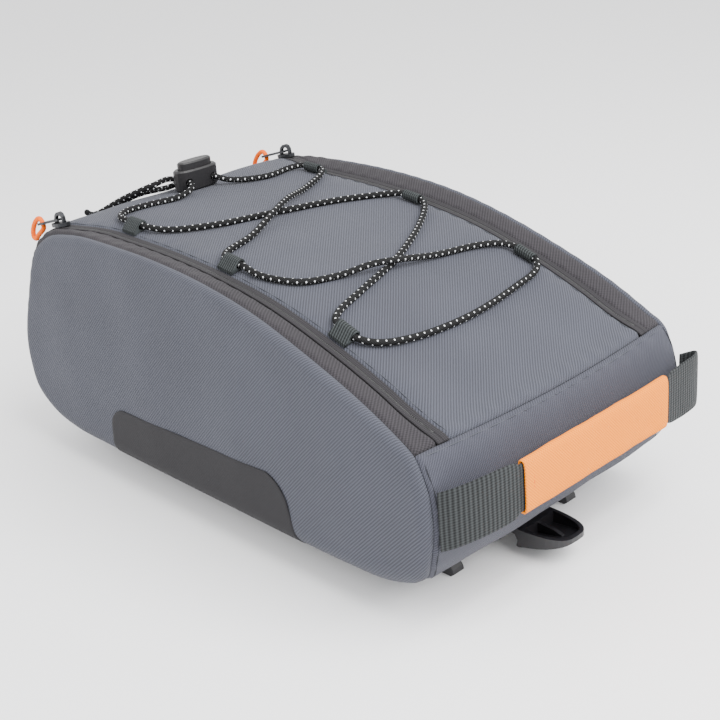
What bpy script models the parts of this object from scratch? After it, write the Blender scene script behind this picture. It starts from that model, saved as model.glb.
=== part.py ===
# Bicycle trunk bag: a wedge-shaped soft bag on a clip-on rack adapter.
# Metres, +Z up, +X towards the low end with the handle, +Y across to the bag's right.
# The origin is on the ground under the middle of the whole bag.

import math

import bmesh
import bpy
import numpy as np

# Main form of the bag
BAG_LENGTH = 0.3649         # tall end's fullest point to low end's fullest point, at the sides
BAG_HEIGHT = 0.1405         # base panel to the highest point of the side seams
BAG_WIDTH = 0.2090          # over the fullest part of both side panels
BASE_HEIGHT = 0.0175        # base panel above the ground, on the adapter's claws
HANDLE_REACH = 0.0195       # handle sleeve's outer face past the low end's fullest point
TALL_CROWN = 0.0040         # how far the middle of the tall end stands out past its sides
SIDE_FULLEST = 0.0700       # height of the side panels' fullest line above the ground
SIDE_TOP_LEAN = 0.0045      # how far a side leans in at the highest seam
SIDE_BASE_LEAN = 0.0015     # how far a side leans in at the base
SIDE_END_PINCH = 0.0020     # how far a side pulls in at both ends

# Walls and clearances
SIDE_WALL = 0.0034          # padded side panels
LID_WALL = 0.0026
END_WALL = 0.0026
BASE_WALL = 0.0030          # stiffened base
BAND_WALL = 0.0020
ZIP_WALL = 0.0013
PATCH_WALL = 0.0008
GAP = 0.0003                # clearance between pieces that touch

SEAM_BOW = 0.0040           # how far the lid's seam to the low end bows down in the middle

# How finely the soft panels are divided
STEPS_ALONG = 19            # along the top and along the base
STEPS_UP = 7                # up either end
BEND_WEIGHT = 0.0800        # metres of straight that count like one radian of bend

# Zips
ZIP_WIDTH = 0.0070
ZIP_HALF_SPAN = 0.0795      # zip centre line from the middle of the bag, on top
ZIP_CORNER_SPAN = 0.0895    # the same at the tall end's corners
ZIP_DROP = 0.0480           # about how far the zips run down from the tall end's crest
ZIP_TROUGH = 0.0026         # depth of the crease along each zip
ZIP_TROUGH_REACH = 0.0085   # how wide that crease spreads

# Sliders, pull bars and the cord loops on them
SLIDER_LENGTH = 0.0135
SLIDER_WIDTH = 0.0084
SLIDER_THICK = 0.0022
SLIDER_LIFT = 0.0004        # slider's foot above the bottom of the zip's crease
SLIDER_BEHIND = 0.0080      # slider's middle before the crest, along the zip
BRIDGE_WIDTH = 0.0020
PULL_LENGTH = 0.0255
PULL_WIDTH = 0.0056
PULL_THICK = 0.0014
PULL_AXIS = 0.0018          # pull's hinge above the slider's plate
PULL_DROOP = 6.0            # degrees that a pull lies below its slider's plane, at rest on it
PULL_SLOT = 0.0061          # slot's far end from the hinge
PULL_SLOT_WIDTH = 0.0028
PULL_HOLE = 0.0030
PULL_HOLE_PLACE = 0.0222
PULL_CORD = 0.0022

# Abrasion patches
PATCH_LENGTH = 0.1740
PATCH_HEIGHT = 0.0475       # top edge above the base at the middle, measured up the side
PATCH_RISE = 0.0018         # how much more its top edge stands above the base at the low end
PATCH_MIDDLE = -0.0085      # middle of the patch along the bag
PATCH_TAPER = 0.0085        # how far each end leans in from foot to top
PATCH_CORNER = 0.0150

# Handle
HANDLE_HEIGHT = 0.0680      # middle of the webbing where it is sewn on, above the ground
HANDLE_RISE = 0.0070        # how far it rises to the middle
WEBBING_WIDTH = 0.0315
WEBBING_WAIST = 0.0258      # webbing folded narrower inside the sleeve
WEBBING_THICK = 0.0018
SLEEVE_LENGTH = 0.1150
SLEEVE_WIDTH = 0.0290
SLEEVE_THICK = 0.0054
SLEEVE_WALL = 0.0011

# Lacing
CORD_DIAMETER = 0.0036
LOOP_LENGTH = 0.0122        # webbing width along the bag
LOOP_WALL = 0.0009
LOOP_INSET = 0.0070         # cord's centre in from the lid's edge
LOOP_PLACES = (-0.0836, 0.0053, 0.0907)

# Cord lock
LOCK_WIDTH = 0.0312
LOCK_DEPTH = 0.0134
LOCK_HEIGHT = 0.0134
LOCK_PLACE = (-0.1220, 0.0039)
LOCK_HOLE_SPACING = 0.0184
LOCK_HOLE = 0.0050
LOCK_HOLE_HEIGHT = 0.0058
BUTTON_WIDTH = 0.0248
BUTTON_DEPTH = 0.0092
BUTTON_PROUD = 0.0046
BUTTON_TRAVEL = 0.0020

# Rack adapter
PLATE_LENGTH = 0.2420
PLATE_WIDTH = 0.0860
PLATE_THICK = 0.0032
PLATE_MIDDLE = 0.0090
CLAW_SPACING = 0.0950       # between the claws of a pair, across the bag
CLAW_WIDTH = 0.0080
CLAW_LENGTH = 0.0320
CLAW_REACH = 0.1380         # low-end claws' toes from the origin
LEVER_REACH = 0.1788        # lever's tip from the origin
LEVER_WIDTH = 0.0292
LEVER_LENGTH = 0.0400       # hinge to tip
LEVER_RIM_HEIGHT = 0.0165
LEVER_DEPTH = 0.0108
LEVER_WALL = 0.0022
LEVER_PIN = 0.0030
EAR_THICK = 0.0028

# The bag's outline seen from the side, once round from the low end's top corner, over the
# top, down the tall end, along the base and up the low end. along and up are shares of
# BAG_LENGTH and BAG_HEIGHT. roll is the radius in which a side panel turns into the strip
# that runs round it, as a share of BAG_WIDTH; seam is how far round that roll the seam
# lies, in degrees from the strip; crown is how far the strip's middle stands out, as a
# share of TALL_CROWN.
OUTLINE_COLUMNS = ("along", "up", "roll", "seam", "crown")
OUTLINE = (
    (0.9665, 0.5835, 0.030, 15, 0.55),
    (0.9400, 0.6200, 0.028, 0, 0.10),
    (0.8700, 0.7120, 0.028, 0, 0.00),
    (0.7660, 0.8160, 0.028, 0, 0.00),
    (0.6615, 0.9020, 0.027, 0, -0.25),
    (0.5520, 0.9620, 0.021, 0, -0.80),
    (0.4286, 0.9940, 0.018, 0, -0.80),
    (0.3050, 1.0000, 0.018, 0, -0.40),
    (0.2090, 0.9970, 0.030, 35, 0.00),
    (0.1326, 0.9710, 0.050, 55, 0.25),
    (0.0806, 0.8720, 0.055, 50, 0.80),
    (0.0395, 0.6500, 0.055, 35, 1.20),
    (0.0080, 0.4450, 0.062, 15, 1.05),
    (0.0000, 0.3025, 0.070, 0, 1.00),
    (0.0110, 0.1500, 0.072, 0, 0.70),
    (0.0640, 0.0440, 0.070, 0, 0.20),
    (0.1380, 0.0040, 0.067, 0, 0.00),
    (0.2230, 0.0000, 0.067, 0, 0.00),
    (0.3500, 0.0000, 0.067, 0, 0.00),
    (0.5000, 0.0000, 0.067, 0, 0.00),
    (0.6500, 0.0000, 0.067, 0, 0.00),
    (0.8000, 0.0000, 0.067, 0, 0.00),
    (0.9070, 0.0180, 0.067, 0, 0.00),
    (0.9600, 0.0800, 0.062, 10, 0.25),
    (0.9880, 0.1890, 0.053, 30, 0.50),
    (1.0000, 0.3310, 0.048, 35, 0.75),
    (0.9960, 0.4520, 0.048, 35, 0.85),
    (0.9810, 0.5420, 0.038, 30, 0.85),
)

TALL_X = (TALL_CROWN - BAG_LENGTH - HANDLE_REACH) / 2
LOW_X = TALL_X + BAG_LENGTH
TOP_Z = BASE_HEIGHT + BAG_HEIGHT
MIDDLE_X = (TALL_X + LOW_X) / 2


def clear_scene():
    for item in list(bpy.data.objects):
        bpy.data.objects.remove(item)


def finish(name, color, roughness, metallic=0.0):
    material = bpy.data.materials.new(name)
    material.use_nodes = True
    surface = material.node_tree.nodes["Principled BSDF"]
    surface.inputs["Base Color"].default_value = (*color, 1.0)
    surface.inputs["Roughness"].default_value = roughness
    surface.inputs["Metallic"].default_value = metallic
    material.diffuse_color = (*color, 1.0)
    return material


def add_object(name, points, faces, material, smooth_angle=35):
    # one closed mesh from points and faces, its faces turned outwards
    mesh = bpy.data.meshes.new(name)
    mesh.from_pydata([tuple(p) for p in points], [], [tuple(f) for f in faces])
    work = bmesh.new()
    work.from_mesh(mesh)
    bmesh.ops.recalc_face_normals(work, faces=work.faces)
    if work.calc_volume(signed=True) < 0:
        bmesh.ops.reverse_faces(work, faces=work.faces)
    work.to_mesh(mesh)
    work.free()
    mesh.materials.append(material)
    mesh.shade_smooth()
    mesh.set_sharp_from_angle(angle=math.radians(smooth_angle))
    item = bpy.data.objects.new(name, mesh)
    bpy.context.scene.collection.objects.link(item)
    return item


def cutter(name, points, faces):
    # a guide solid for a Boolean, left out of the model
    item = add_object(name, points, faces, bpy.data.materials["hard plastic"])
    item.hide_render = True
    item.display_type = "WIRE"
    return item


def combine(item, tool, operation):
    step = item.modifiers.new(tool.name, "BOOLEAN")
    step.object = tool
    step.operation = operation
    step.solver = "EXACT"


def grid_faces(rows, columns, offset=0):
    # quads of a grid of points, counted row by row
    i, j = np.meshgrid(np.arange(rows - 1), np.arange(columns - 1), indexing="ij")
    first = (offset + i * columns + j).ravel()
    return np.stack([first, first + columns, first + columns + 1, first + 1], axis=1)


def rim_faces(outer, inner):
    # quads between two closed loops of point numbers
    return np.stack([outer, np.roll(outer, -1), np.roll(inner, -1), inner], axis=1)


def shell(name, outer, inner, material):
    # a wall between two grids of points, closed round its edge
    rows, columns = outer.shape[:2]
    number = np.arange(rows * columns).reshape(rows, columns)
    edge = np.concatenate([number[0, :-1], number[:-1, -1], number[-1, :0:-1], number[:0:-1, 0]])
    faces = np.concatenate([
        grid_faces(rows, columns),
        grid_faces(rows, columns, rows * columns)[:, ::-1],
        rim_faces(edge, edge + rows * columns)])
    points = np.concatenate([outer.reshape(-1, 3), inner.reshape(-1, 3)])
    return add_object(name, points, faces, material)


def ring_sides(rings, around, first=0):
    # quads between the closed rings of a swept solid
    faces = [rim_faces(np.arange(around) + first + k * around,
                       np.arange(around) + first + (k + 1) * around) for k in range(rings - 1)]
    return [tuple(f) for block in faces for f in block]


def swept(name, rings, material):
    # a solid through closed rings of points, with a flat face at each end
    count, around = rings.shape[:2]
    faces = ring_sides(count, around)
    faces.append(tuple(range(around)))
    faces.append(tuple(range((count - 1) * around, count * around)))
    return add_object(name, rings.reshape(-1, 3), faces, material)


def tube_wall(name, outer, inner, material):
    # a tube between outer and inner rings of points, open at both ends
    count, around = outer.shape[:2]
    inside = count * around
    faces = ring_sides(count, around) + [f[::-1] for f in ring_sides(count, around, inside)]
    for k in (0, count - 1):
        near = np.arange(around) + k * around
        faces += [tuple(f) for f in rim_faces(near, near + inside)]
    points = np.concatenate([outer.reshape(-1, 3), inner.reshape(-1, 3)])
    return add_object(name, points, faces, material)


def prism(profile, low, high, plane="XZ"):
    # points and faces of a flat outline carried from low to high across its plane
    profile = np.asarray(profile, float)
    count = len(profile)
    ends = []
    for level in (low, high):
        level = np.full(count, level)
        a, b = profile.T
        order = (a, level, b) if plane == "XZ" else (a, b, level) if plane == "XY" else (level, a, b)
        ends.append(np.stack(order, axis=1))
    faces = ring_sides(2, count) + [tuple(range(count)), tuple(range(count, 2 * count))]
    return np.concatenate(ends), faces


def oval(length, width, power=2.0, count=24, middle=(0.0, 0.0)):
    # a rounded outline: |x/a|^power + |y/b|^power = 1
    turn = np.linspace(0, 2 * np.pi, count, endpoint=False)
    c, s = np.cos(turn), np.sin(turn)
    x = middle[0] + length / 2 * np.sign(c) * np.abs(c) ** (2 / power)
    y = middle[1] + width / 2 * np.sign(s) * np.abs(s) ** (2 / power)
    return np.stack([x, y], axis=1)


def ease(value, start, end):
    # 0 before start, 1 after end, with a smooth step between them
    t = np.clip((value - start) / (end - start), 0, 1)
    return t * t * (3 - 2 * t)


def closed_curve(points, steps):
    # centripetal Catmull-Rom curve once round all the points; extra columns ride along
    before, start = np.roll(points, 1, axis=0), points
    end, after = np.roll(points, -1, axis=0), np.roll(points, -2, axis=0)

    def span(a, b):
        return np.sqrt(np.linalg.norm((b - a)[:, :2], axis=1))[:, None]

    t01, t12, t23 = span(before, start), span(start, end), span(end, after)
    leave = t12 * ((start - before) / t01 - (end - before) / (t01 + t12) + (end - start) / t12)
    arrive = t12 * ((end - start) / t12 - (after - start) / (t12 + t23) + (after - end) / t23)
    u = (np.arange(steps) / steps)[None, :, None]
    curve = ((2 * u**3 - 3 * u**2 + 1) * start[:, None] + (u**3 - 2 * u**2 + u) * leave[:, None]
             + (3 * u**2 - 2 * u**3) * end[:, None] + (u**3 - u**2) * arrive[:, None])
    return curve.reshape(-1, points.shape[1])


def side_half(x, z):
    # half the bag's width at a point of its side: fullest at SIDE_FULLEST, less above and below
    up = np.clip((z - SIDE_FULLEST) / (TOP_Z - SIDE_FULLEST), 0, None)
    down = np.clip((SIDE_FULLEST - z) / (SIDE_FULLEST - BASE_HEIGHT), 0, None)
    end = (x - MIDDLE_X) / (BAG_LENGTH / 2)
    lean = SIDE_TOP_LEAN * up**1.2 + SIDE_BASE_LEAN * down**2 + SIDE_END_PINCH * end**4
    return BAG_WIDTH / 2 - lean


class Strip:
    # the strip of cloth that runs round the bag between its two side panels

    def __init__(self):
        rows = np.array(OUTLINE)
        steps = 20
        real = np.stack([
            TALL_X + BAG_LENGTH * rows[:, 0], BASE_HEIGHT + BAG_HEIGHT * rows[:, 1],
            BAG_WIDTH * rows[:, 2], np.radians(rows[:, 3]), TALL_CROWN * rows[:, 4]], axis=1)
        curve = closed_curve(real, steps)
        curve = np.concatenate([curve, curve[:1]])
        step = np.linalg.norm(np.diff(curve[:, :2], axis=0), axis=1)
        self.length = np.concatenate([[0], np.cumsum(step)])
        self.total = self.length[-1]
        self.row_length = self.length[:-1:steps]
        run = np.gradient(np.concatenate([curve[-2:-1, :2], curve[:, :2], curve[1:2, :2]]), axis=0)[1:-1]
        run /= np.linalg.norm(run, axis=1)[:, None]
        self.columns = np.column_stack([curve, run[:, 1], -run[:, 0]])
        self.crest = self.row_length[9]

        # lengths at which all the pieces have their points, closer together on the bends
        turned = np.abs(np.diff(np.unwrap(np.arctan2(-run[:, 0], run[:, 1]))))
        weight = np.concatenate([[0], np.cumsum(step + BEND_WEIGHT * turned)])
        corner = [0, self.row_length[10], self.row_length[14], self.row_length[23], self.total]
        corner = np.interp(corner, self.length, weight)
        counts = (STEPS_ALONG, STEPS_UP, STEPS_ALONG, STEPS_UP)
        self.edges = [np.interp(np.linspace(a, b, n + 1), weight, self.length)
                      for a, b, n in zip(corner[:-1], corner[1:], counts)]
        self.marks = np.unique(np.concatenate(self.edges))
        self.zip_end = self.mark(self.crest + ZIP_DROP)
        self.tall_foot = self.mark(self.row_length[16])
        self.low_foot = self.mark(self.row_length[21])

    def mark(self, s):
        # the nearest of those lengths
        return self.marks[np.argmin(np.abs(self.marks - s))]

    def rows(self, start, end):
        # those lengths between two of them, with half a clearance kept at both ends
        inside = self.marks[(self.marks > start + 1e-6) & (self.marks < end - 1e-6)]
        return np.concatenate([[start + GAP / 2], inside, [end - GAP / 2]])

    def at(self, s):
        # x, z, roll, seam angle, crown and outward normal at a length along the strip
        s = np.asarray(s, float) % self.total
        return [np.interp(s, self.length, column) for column in self.columns.T]

    def flat(self, s):
        # half the width of the strip's flat part, between the rolls
        x, z, roll, seam, crown, nx, nz = self.at(s)
        return side_half(x - nx * roll, z - nz * roll) - roll

    def limit(self, s):
        # half the width of the strip out to the seams
        x, z, roll, seam, crown, nx, nz = self.at(s)
        return self.flat(s) + roll * seam

    def zip_line(self, s):
        # distance of the zip's centre line from the middle of the bag
        turn = ease(s, self.crest - 0.055, self.crest - 0.005)
        return ZIP_HALF_SPAN + (ZIP_CORNER_SPAN - ZIP_HALF_SPAN) * turn

    def point(self, s, w, depth=0.0, lift=0.0):
        # the strip's surface at length s, w across, depth inside it or lift above it
        s, w = np.broadcast_arrays(np.asarray(s, float), np.asarray(w, float))
        x, z, roll, seam, crown, nx, nz = self.at(s)
        flat = self.flat(s)
        reach = np.minimum(np.abs(w), flat)
        turn = np.clip((np.abs(w) - flat) / roll, 0, np.pi / 2)
        y = np.sign(w) * (reach + (roll - depth) * np.sin(turn))
        inset = depth + (roll - depth) * (1 - np.cos(turn))
        rise = crown * (1 - (reach / flat) ** 4)
        zipped = ease(s, 0, 0.030) * (1 - ease(s, self.zip_end - 0.010, self.zip_end))
        zipped = zipped * (1 - 0.6 * ease(s, self.crest - 0.060, self.crest - 0.010))
        off_zip = (np.abs(w) - self.zip_line(s)) / ZIP_TROUGH_REACH
        off_seam = np.clip((flat + roll * seam - np.abs(w)) / ZIP_WIDTH, 0, 1)
        rise = rise - ZIP_TROUGH * zipped * off_seam * np.exp(-off_zip**2)
        out = rise + lift - inset
        return np.stack([x + nx * out, y, z + nz * out], axis=-1)

    def length_at(self, x):
        # length along the top and the tall end at which the strip stands over x
        top = self.length <= self.row_length[13]
        return np.interp(-np.asarray(x, float), -self.columns[top, 0], self.length[top])


def side_panel(name, strip, side, material):
    # a padded side: a patch blended from four stretches of the outline, whose edge rolls
    # round into the strip; side is -1 for the left panel and +1 for the right
    along, up, turns = STEPS_ALONG, STEPS_UP, 3
    edges = strip.edges

    def ring(s, turn, depth):
        x, z, roll, seam, crown, nx, nz = strip.at(s)
        inset = depth + (roll - depth) * (1 - np.cos(turn))
        y = side * (strip.flat(s) + (roll - depth) * np.sin(turn))
        return np.stack([x - nx * inset, y, z - nz * inset], axis=-1)

    quarter = np.pi / 2
    top, tall, base, low = [ring(e, quarter, 0)[:, [0, 2]] for e in edges]
    top, tall = top[::-1], tall[::-1]
    u = np.linspace(0, 1, along + 1)[:, None, None]
    v = np.linspace(0, 1, up + 1)[None, :, None]
    flat = ((1 - v) * base[:, None] + v * top[:, None] + (1 - u) * tall[None] + u * low[None]
            - (1 - u) * (1 - v) * base[0] - u * (1 - v) * base[-1]
            - (1 - u) * v * top[0] - u * v * top[-1])

    number = np.arange((along + 1) * (up + 1)).reshape(along + 1, up + 1)
    loop = np.concatenate([number[:0:-1, -1], number[0, :0:-1], number[:-1, 0], number[-1, :-1]])
    loop_s = np.concatenate([e[:-1] for e in edges])
    x, z, roll, seam, crown, nx, nz = strip.at(loop_s)
    last = seam + GAP / roll
    layers = []
    for depth in (0.0, SIDE_WALL):
        y = side * (side_half(flat[..., 0], flat[..., 1]) - depth)
        points = [np.stack([flat[..., 0], y, flat[..., 1]], axis=-1).reshape(-1, 3)]
        for k in range(1, turns + 1):
            turn = quarter + (last - quarter) * k / turns
            points.append(ring(loop_s, turn, depth))
        layers.append(np.concatenate(points))
    size = len(layers[0])
    around = len(loop)
    loops = [loop] + [np.arange(around) + number.size + k * around for k in range(turns)]
    faces = [grid_faces(along + 1, up + 1)] + [rim_faces(a, b) for a, b in zip(loops, loops[1:])]
    faces = np.concatenate(faces)
    faces = np.concatenate([faces, (faces + size)[:, ::-1], rim_faces(loops[-1], loops[-1] + size)])
    return add_object(name, np.concatenate(layers), faces, material)


def strip_wall(name, strip, s, w, wall, material, drop=0.0):
    # a piece of the strip over a grid of lengths s and places across w
    return shell(name, strip.point(s, w, 0, -drop), strip.point(s, w, wall, -drop), material)


def bowed(strip, s, near, w):
    # lengths s moved with the bow of the lid's seam: wholly where near is 1, not where it is 0
    share = np.clip(1 - (np.abs(w) / strip.limit(0.0)) ** 2, 0, 1)
    return s[:, None] - SEAM_BOW * share * near[:, None]


def across_whole(strip, s, flat_steps, roll_steps):
    # places right across the strip from seam to seam, closer together on the rolls
    limit = (strip.limit(s) - GAP / 2)[:, None]
    flat = np.minimum(strip.flat(s)[:, None], limit * (0.985 if roll_steps else 1.0))
    middle = np.linspace(-1, 1, flat_steps + 1)[None, :] * flat
    if not roll_steps:
        return middle
    rolled = flat + (limit - flat) * np.linspace(0, 1, roll_steps + 1)[None, 1:]
    return np.concatenate([-rolled[:, ::-1], middle, rolled], axis=1)


def build_shell(strip, cloth, band_cloth, zip_tape):
    for name, side in (("side_panel_left", -1), ("side_panel_right", 1)):
        side_panel(name, strip, side, cloth)

    half_gap = GAP / 2
    top = strip.rows(0, strip.zip_end)
    near = 1 - ease(top, 0, 0.050)
    inner = strip.zip_line(top) - ZIP_WIDTH / 2
    outer = strip.zip_line(top) + ZIP_WIDTH / 2
    spread = np.sin(np.linspace(-1, 1, 11) * np.pi / 2)[None, :]
    places = (inner - half_gap)[:, None] * spread
    strip_wall("lid_panel", strip, bowed(strip, top, near, places), places, LID_WALL, cloth)
    for word, side in (("left", -1), ("right", 1)):
        share = np.linspace(0, 1, 3)[None, :]
        places = side * ((inner + half_gap)[:, None] + (outer - inner - GAP)[:, None] * share)
        strip_wall("zipper_" + word, strip, bowed(strip, top, near, places), places, ZIP_WALL, zip_tape)
        share = np.linspace(0, 1, 4)[None, :]
        start = (outer + half_gap)[:, None]
        end = (strip.limit(top) - half_gap)[:, None]
        places = side * (start + (end - start) * share)
        strip_wall("zipper_band_" + word, strip, bowed(strip, top, near, places), places,
                   BAND_WALL, band_cloth)

    tall = strip.rows(strip.zip_end, strip.tall_foot)
    strip_wall("tall_end_panel", strip, tall[:, None], across_whole(strip, tall, 8, 1), END_WALL, cloth)
    base = strip.rows(strip.tall_foot, strip.low_foot)
    strip_wall("base_panel", strip, base[:, None], across_whole(strip, base, 4, 0), BASE_WALL, cloth)
    low = strip.rows(strip.low_foot, strip.total)
    near = ease(low, strip.total - 0.040, strip.total)
    places = across_whole(strip, low, 8, 2)
    strip_wall("low_end_panel", strip, bowed(strip, low, near, places), places, END_WALL, cloth)


def patch_places():
    # the patch's grid: x along the bag and v up the side from the base seam, as a trapezoid
    # with two rounded top corners; its rows on the roll are the side panel's own
    rolled = BAG_WIDTH * OUTLINE[19][2] * np.radians((30, 60, 90))
    v = np.concatenate([[0.0030], rolled,
                        PATCH_HEIGHT - PATCH_CORNER * (1 - np.sin(np.linspace(0, 1, 4) * np.pi / 2))])
    below = np.clip(v - (PATCH_HEIGHT - PATCH_CORNER), 0, PATCH_CORNER)
    corner = PATCH_CORNER - np.sqrt(PATCH_CORNER**2 - below**2 * 0.97)
    half = PATCH_LENGTH / 2 - PATCH_TAPER * v / PATCH_HEIGHT - corner
    share = np.linspace(-1, 1, 11)[None, :]
    rise = PATCH_RISE * (v / PATCH_HEIGHT)[:, None] ** 2 * share
    return PATCH_MIDDLE + half[:, None] * share, v[:, None] + rise


def patch_surface(strip, x, v, lift, side):
    # the side panel's outside above the straight base: a roll, then the side itself
    roll = BAG_WIDTH * OUTLINE[19][2]
    flat = side_half(x, BASE_HEIGHT + roll) - roll
    turn = np.clip(v / roll, 0, np.pi / 2)
    more = np.clip(v - roll * np.pi / 2, 0, None)
    z = BASE_HEIGHT + roll - (roll + lift) * np.cos(turn) + more
    y = np.where(more > 0, side_half(x, z) + lift, flat + (roll + lift) * np.sin(turn))
    return np.stack([x, side * y, z], axis=-1)


def build_patches(strip, rubber):
    x, v = patch_places()
    for name, side in (("abrasion_patch_left", -1), ("abrasion_patch_right", 1)):
        outer = patch_surface(strip, x, v, GAP + PATCH_WALL, side)
        inner = patch_surface(strip, x, v, GAP, side)
        shell(name, outer, inner, rubber)


# The handle's webbing from the left seam to the right one: across is a share of its half
# span, bow a share of its reach, waist a share of its narrowing inside the sleeve. The
# right end bulges more than the left and turns back at the bag's corner.
HANDLE_COLUMNS = ("across", "bow", "waist")
HANDLE = (
    (-1.00, 0.00, 0.00), (-0.95, 0.36, 0.00), (-0.88, 0.60, 0.00), (-0.80, 0.78, 0.00),
    (-0.70, 0.93, 0.10), (-0.65, 0.98, 0.35), (-0.61, 1.00, 1.00), (-0.30, 1.00, 1.00),
    (0.00, 1.00, 1.00), (0.30, 1.00, 1.00), (0.61, 1.00, 1.00), (0.65, 0.99, 0.35),
    (0.72, 0.97, 0.10), (0.80, 0.94, 0.00), (0.89, 0.88, 0.00), (0.97, 0.74, 0.00),
    (1.025, 0.46, 0.00), (1.00, 0.00, 0.00),
)


def handle_path(strip, rows):
    # middle line of the webbing for rows of the handle's table, and its share of waist
    across, bow, waist = rows.T
    seat = strip.row_length[25]
    end = strip.limit(seat) - 0.0020
    foot = strip.point(seat, end)[0] + 3 * GAP
    front = LOW_X + HANDLE_REACH - SLEEVE_THICK / 2
    x = foot + (front - foot) * bow
    z = HANDLE_HEIGHT + HANDLE_RISE * bow
    return np.stack([x, across * end, z], axis=-1), waist


def strap_rings(path, wide, thick):
    # four corners of a flat strap at each point of its path, turned with the path in plan
    run = np.gradient(path[:, :2], axis=0)
    run /= np.linalg.norm(run, axis=1)[:, None]
    out = np.stack([run[:, 1], -run[:, 0], 0 * run[:, 0]], axis=1)
    up = np.array([0.0, 0.0, 1.0])[None]
    wide = np.broadcast_to(wide, len(path))[:, None]
    half = out * thick / 2
    return np.stack([path + half + up * wide / 2, path - half + up * wide / 2,
                     path - half - up * wide / 2, path + half - up * wide / 2], axis=1)


def build_handle(strip, webbing, orange):
    table = np.array(HANDLE)
    between = (table[1:] + table[:-1]) / 2
    fine = np.concatenate([np.stack([table[:-1], between], axis=1).reshape(-1, 3), table[-1:]])
    path, waist = handle_path(strip, fine)
    wide = WEBBING_WIDTH + (WEBBING_WAIST - WEBBING_WIDTH) * waist
    swept("handle_strap", strap_rings(path, wide, WEBBING_THICK), webbing)

    middle, waist = handle_path(strip, np.tile((0.0, 1.0, 1.0), (5, 1)))
    middle[:, 1] = np.linspace(-0.5, 0.5, 5) * SLEEVE_LENGTH
    rings = []
    for wall in (0.0, SLEEVE_WALL):
        a = SLEEVE_THICK / 2 - wall
        b = SLEEVE_WIDTH / 2 - wall
        turn = np.linspace(0, 2 * np.pi, 12, endpoint=False)
        flat = b - a
        dx = a * np.cos(turn)
        dz = a * np.sin(turn) + np.where(np.sin(turn) >= -1e-9, 1, -1) * flat
        ring = np.stack([dx, 0 * dx, dz], axis=1)
        rings.append(middle[:, None] + ring[None])
    tube_wall("handle_sleeve", rings[0], rings[1], orange)


def loop_cord_place(strip):
    # how far across the bag, and how far above the lid, a loop holds the cord's centre
    return ZIP_HALF_SPAN - ZIP_WIDTH / 2 - LOOP_INSET, GAP + LOOP_WALL + 0.0004 + CORD_DIAMETER / 2


def build_cord_loops(strip, webbing):
    across, height = loop_cord_place(strip)
    reach = LOOP_INSET - 0.0006
    turn = np.radians(np.linspace(62, 298, 9))
    hole = CORD_DIAMETER / 2 + 0.0004
    outside = hole + LOOP_WALL
    drop = height - 0.0011
    outer = [(reach, -drop - 0.0008)] + [(reach, -drop + 0.0010)]
    outer = np.array(outer[1:] + list(zip(outside * np.cos(turn), outside * np.sin(turn))) + outer[:1])
    inner = np.array([(hole * 1.35, hole * 0.30)]
                     + list(zip(hole * np.cos(turn), hole * np.sin(turn))) + [(hole * 1.35, -hole * 0.55)])
    for word, side in (("left", -1), ("right", 1)):
        for number, x in enumerate(LOOP_PLACES, 1):
            s = strip.length_at(x) + np.array([-0.5, 0.0, 0.5]) * LOOP_LENGTH
            rings = []
            for profile in (outer, inner):
                w = side * (across + profile[None, :, 0])
                lift = height + profile[None, :, 1]
                rings.append(strip.point(s[:, None], w, 0, lift))
            tube_wall("cord_loop_%s_%d" % (word, number), rings[0], rings[1], webbing)


def lid_height(strip, x, y):
    # height of the lid's outside over a place in plan
    return strip.point(strip.length_at(x), y)[..., 2]


def set_origin(item, point):
    # move an object's origin to a point and leave its shape where it is
    for vertex in item.data.vertices:
        vertex.co.x -= point[0]
        vertex.co.y -= point[1]
        vertex.co.z -= point[2]
    item.location = point


def soften(item, width, segments=1, angle=40):
    edge = item.modifiers.new("soft edges", "BEVEL")
    edge.width = width
    edge.segments = segments
    edge.limit_method = "ANGLE"
    edge.angle_limit = math.radians(angle)


def lock_foot(strip):
    # lowest height at which the cord lock stands clear of the lid under its whole foot
    foot = oval(LOCK_DEPTH, LOCK_WIDTH, middle=LOCK_PLACE)
    return float(np.max(lid_height(strip, foot[:, 0], foot[:, 1]))) + GAP


def build_lock(strip, plastic):
    foot = lock_foot(strip)
    top = foot + LOCK_HEIGHT
    body = add_object("cord_lock_body", *prism(oval(LOCK_DEPTH, LOCK_WIDTH, 2.6, 24, LOCK_PLACE),
                                               foot, top, "XY"), plastic)
    soften(body, 0.0010)
    floor = foot + LOCK_HOLE_HEIGHT + LOCK_HOLE / 2 + 0.0006
    socket = oval(BUTTON_DEPTH + 2 * GAP, BUTTON_WIDTH + 2 * GAP, 2.4, 20, LOCK_PLACE)
    combine(body, cutter("button_socket", *prism(socket, floor, top + 0.01, "XY")), "DIFFERENCE")
    for word, side in (("left", -1), ("right", 1)):
        place = (LOCK_PLACE[1] + side * LOCK_HOLE_SPACING / 2, foot + LOCK_HOLE_HEIGHT)
        hole = oval(LOCK_HOLE, LOCK_HOLE, 2.0, 10, place)
        reach = LOCK_DEPTH
        tool = cutter("lock_hole_" + word, *prism(hole, LOCK_PLACE[0] - reach, LOCK_PLACE[0] + reach, "YZ"))
        combine(body, tool, "DIFFERENCE")

    low = floor + BUTTON_TRAVEL + GAP
    button = add_object("cord_lock_button", *prism(
        oval(BUTTON_DEPTH, BUTTON_WIDTH, 2.4, 20, LOCK_PLACE), low, top + BUTTON_PROUD, "XY"), plastic)
    soften(button, 0.0009)
    set_origin(button, (*LOCK_PLACE, low))


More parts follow.
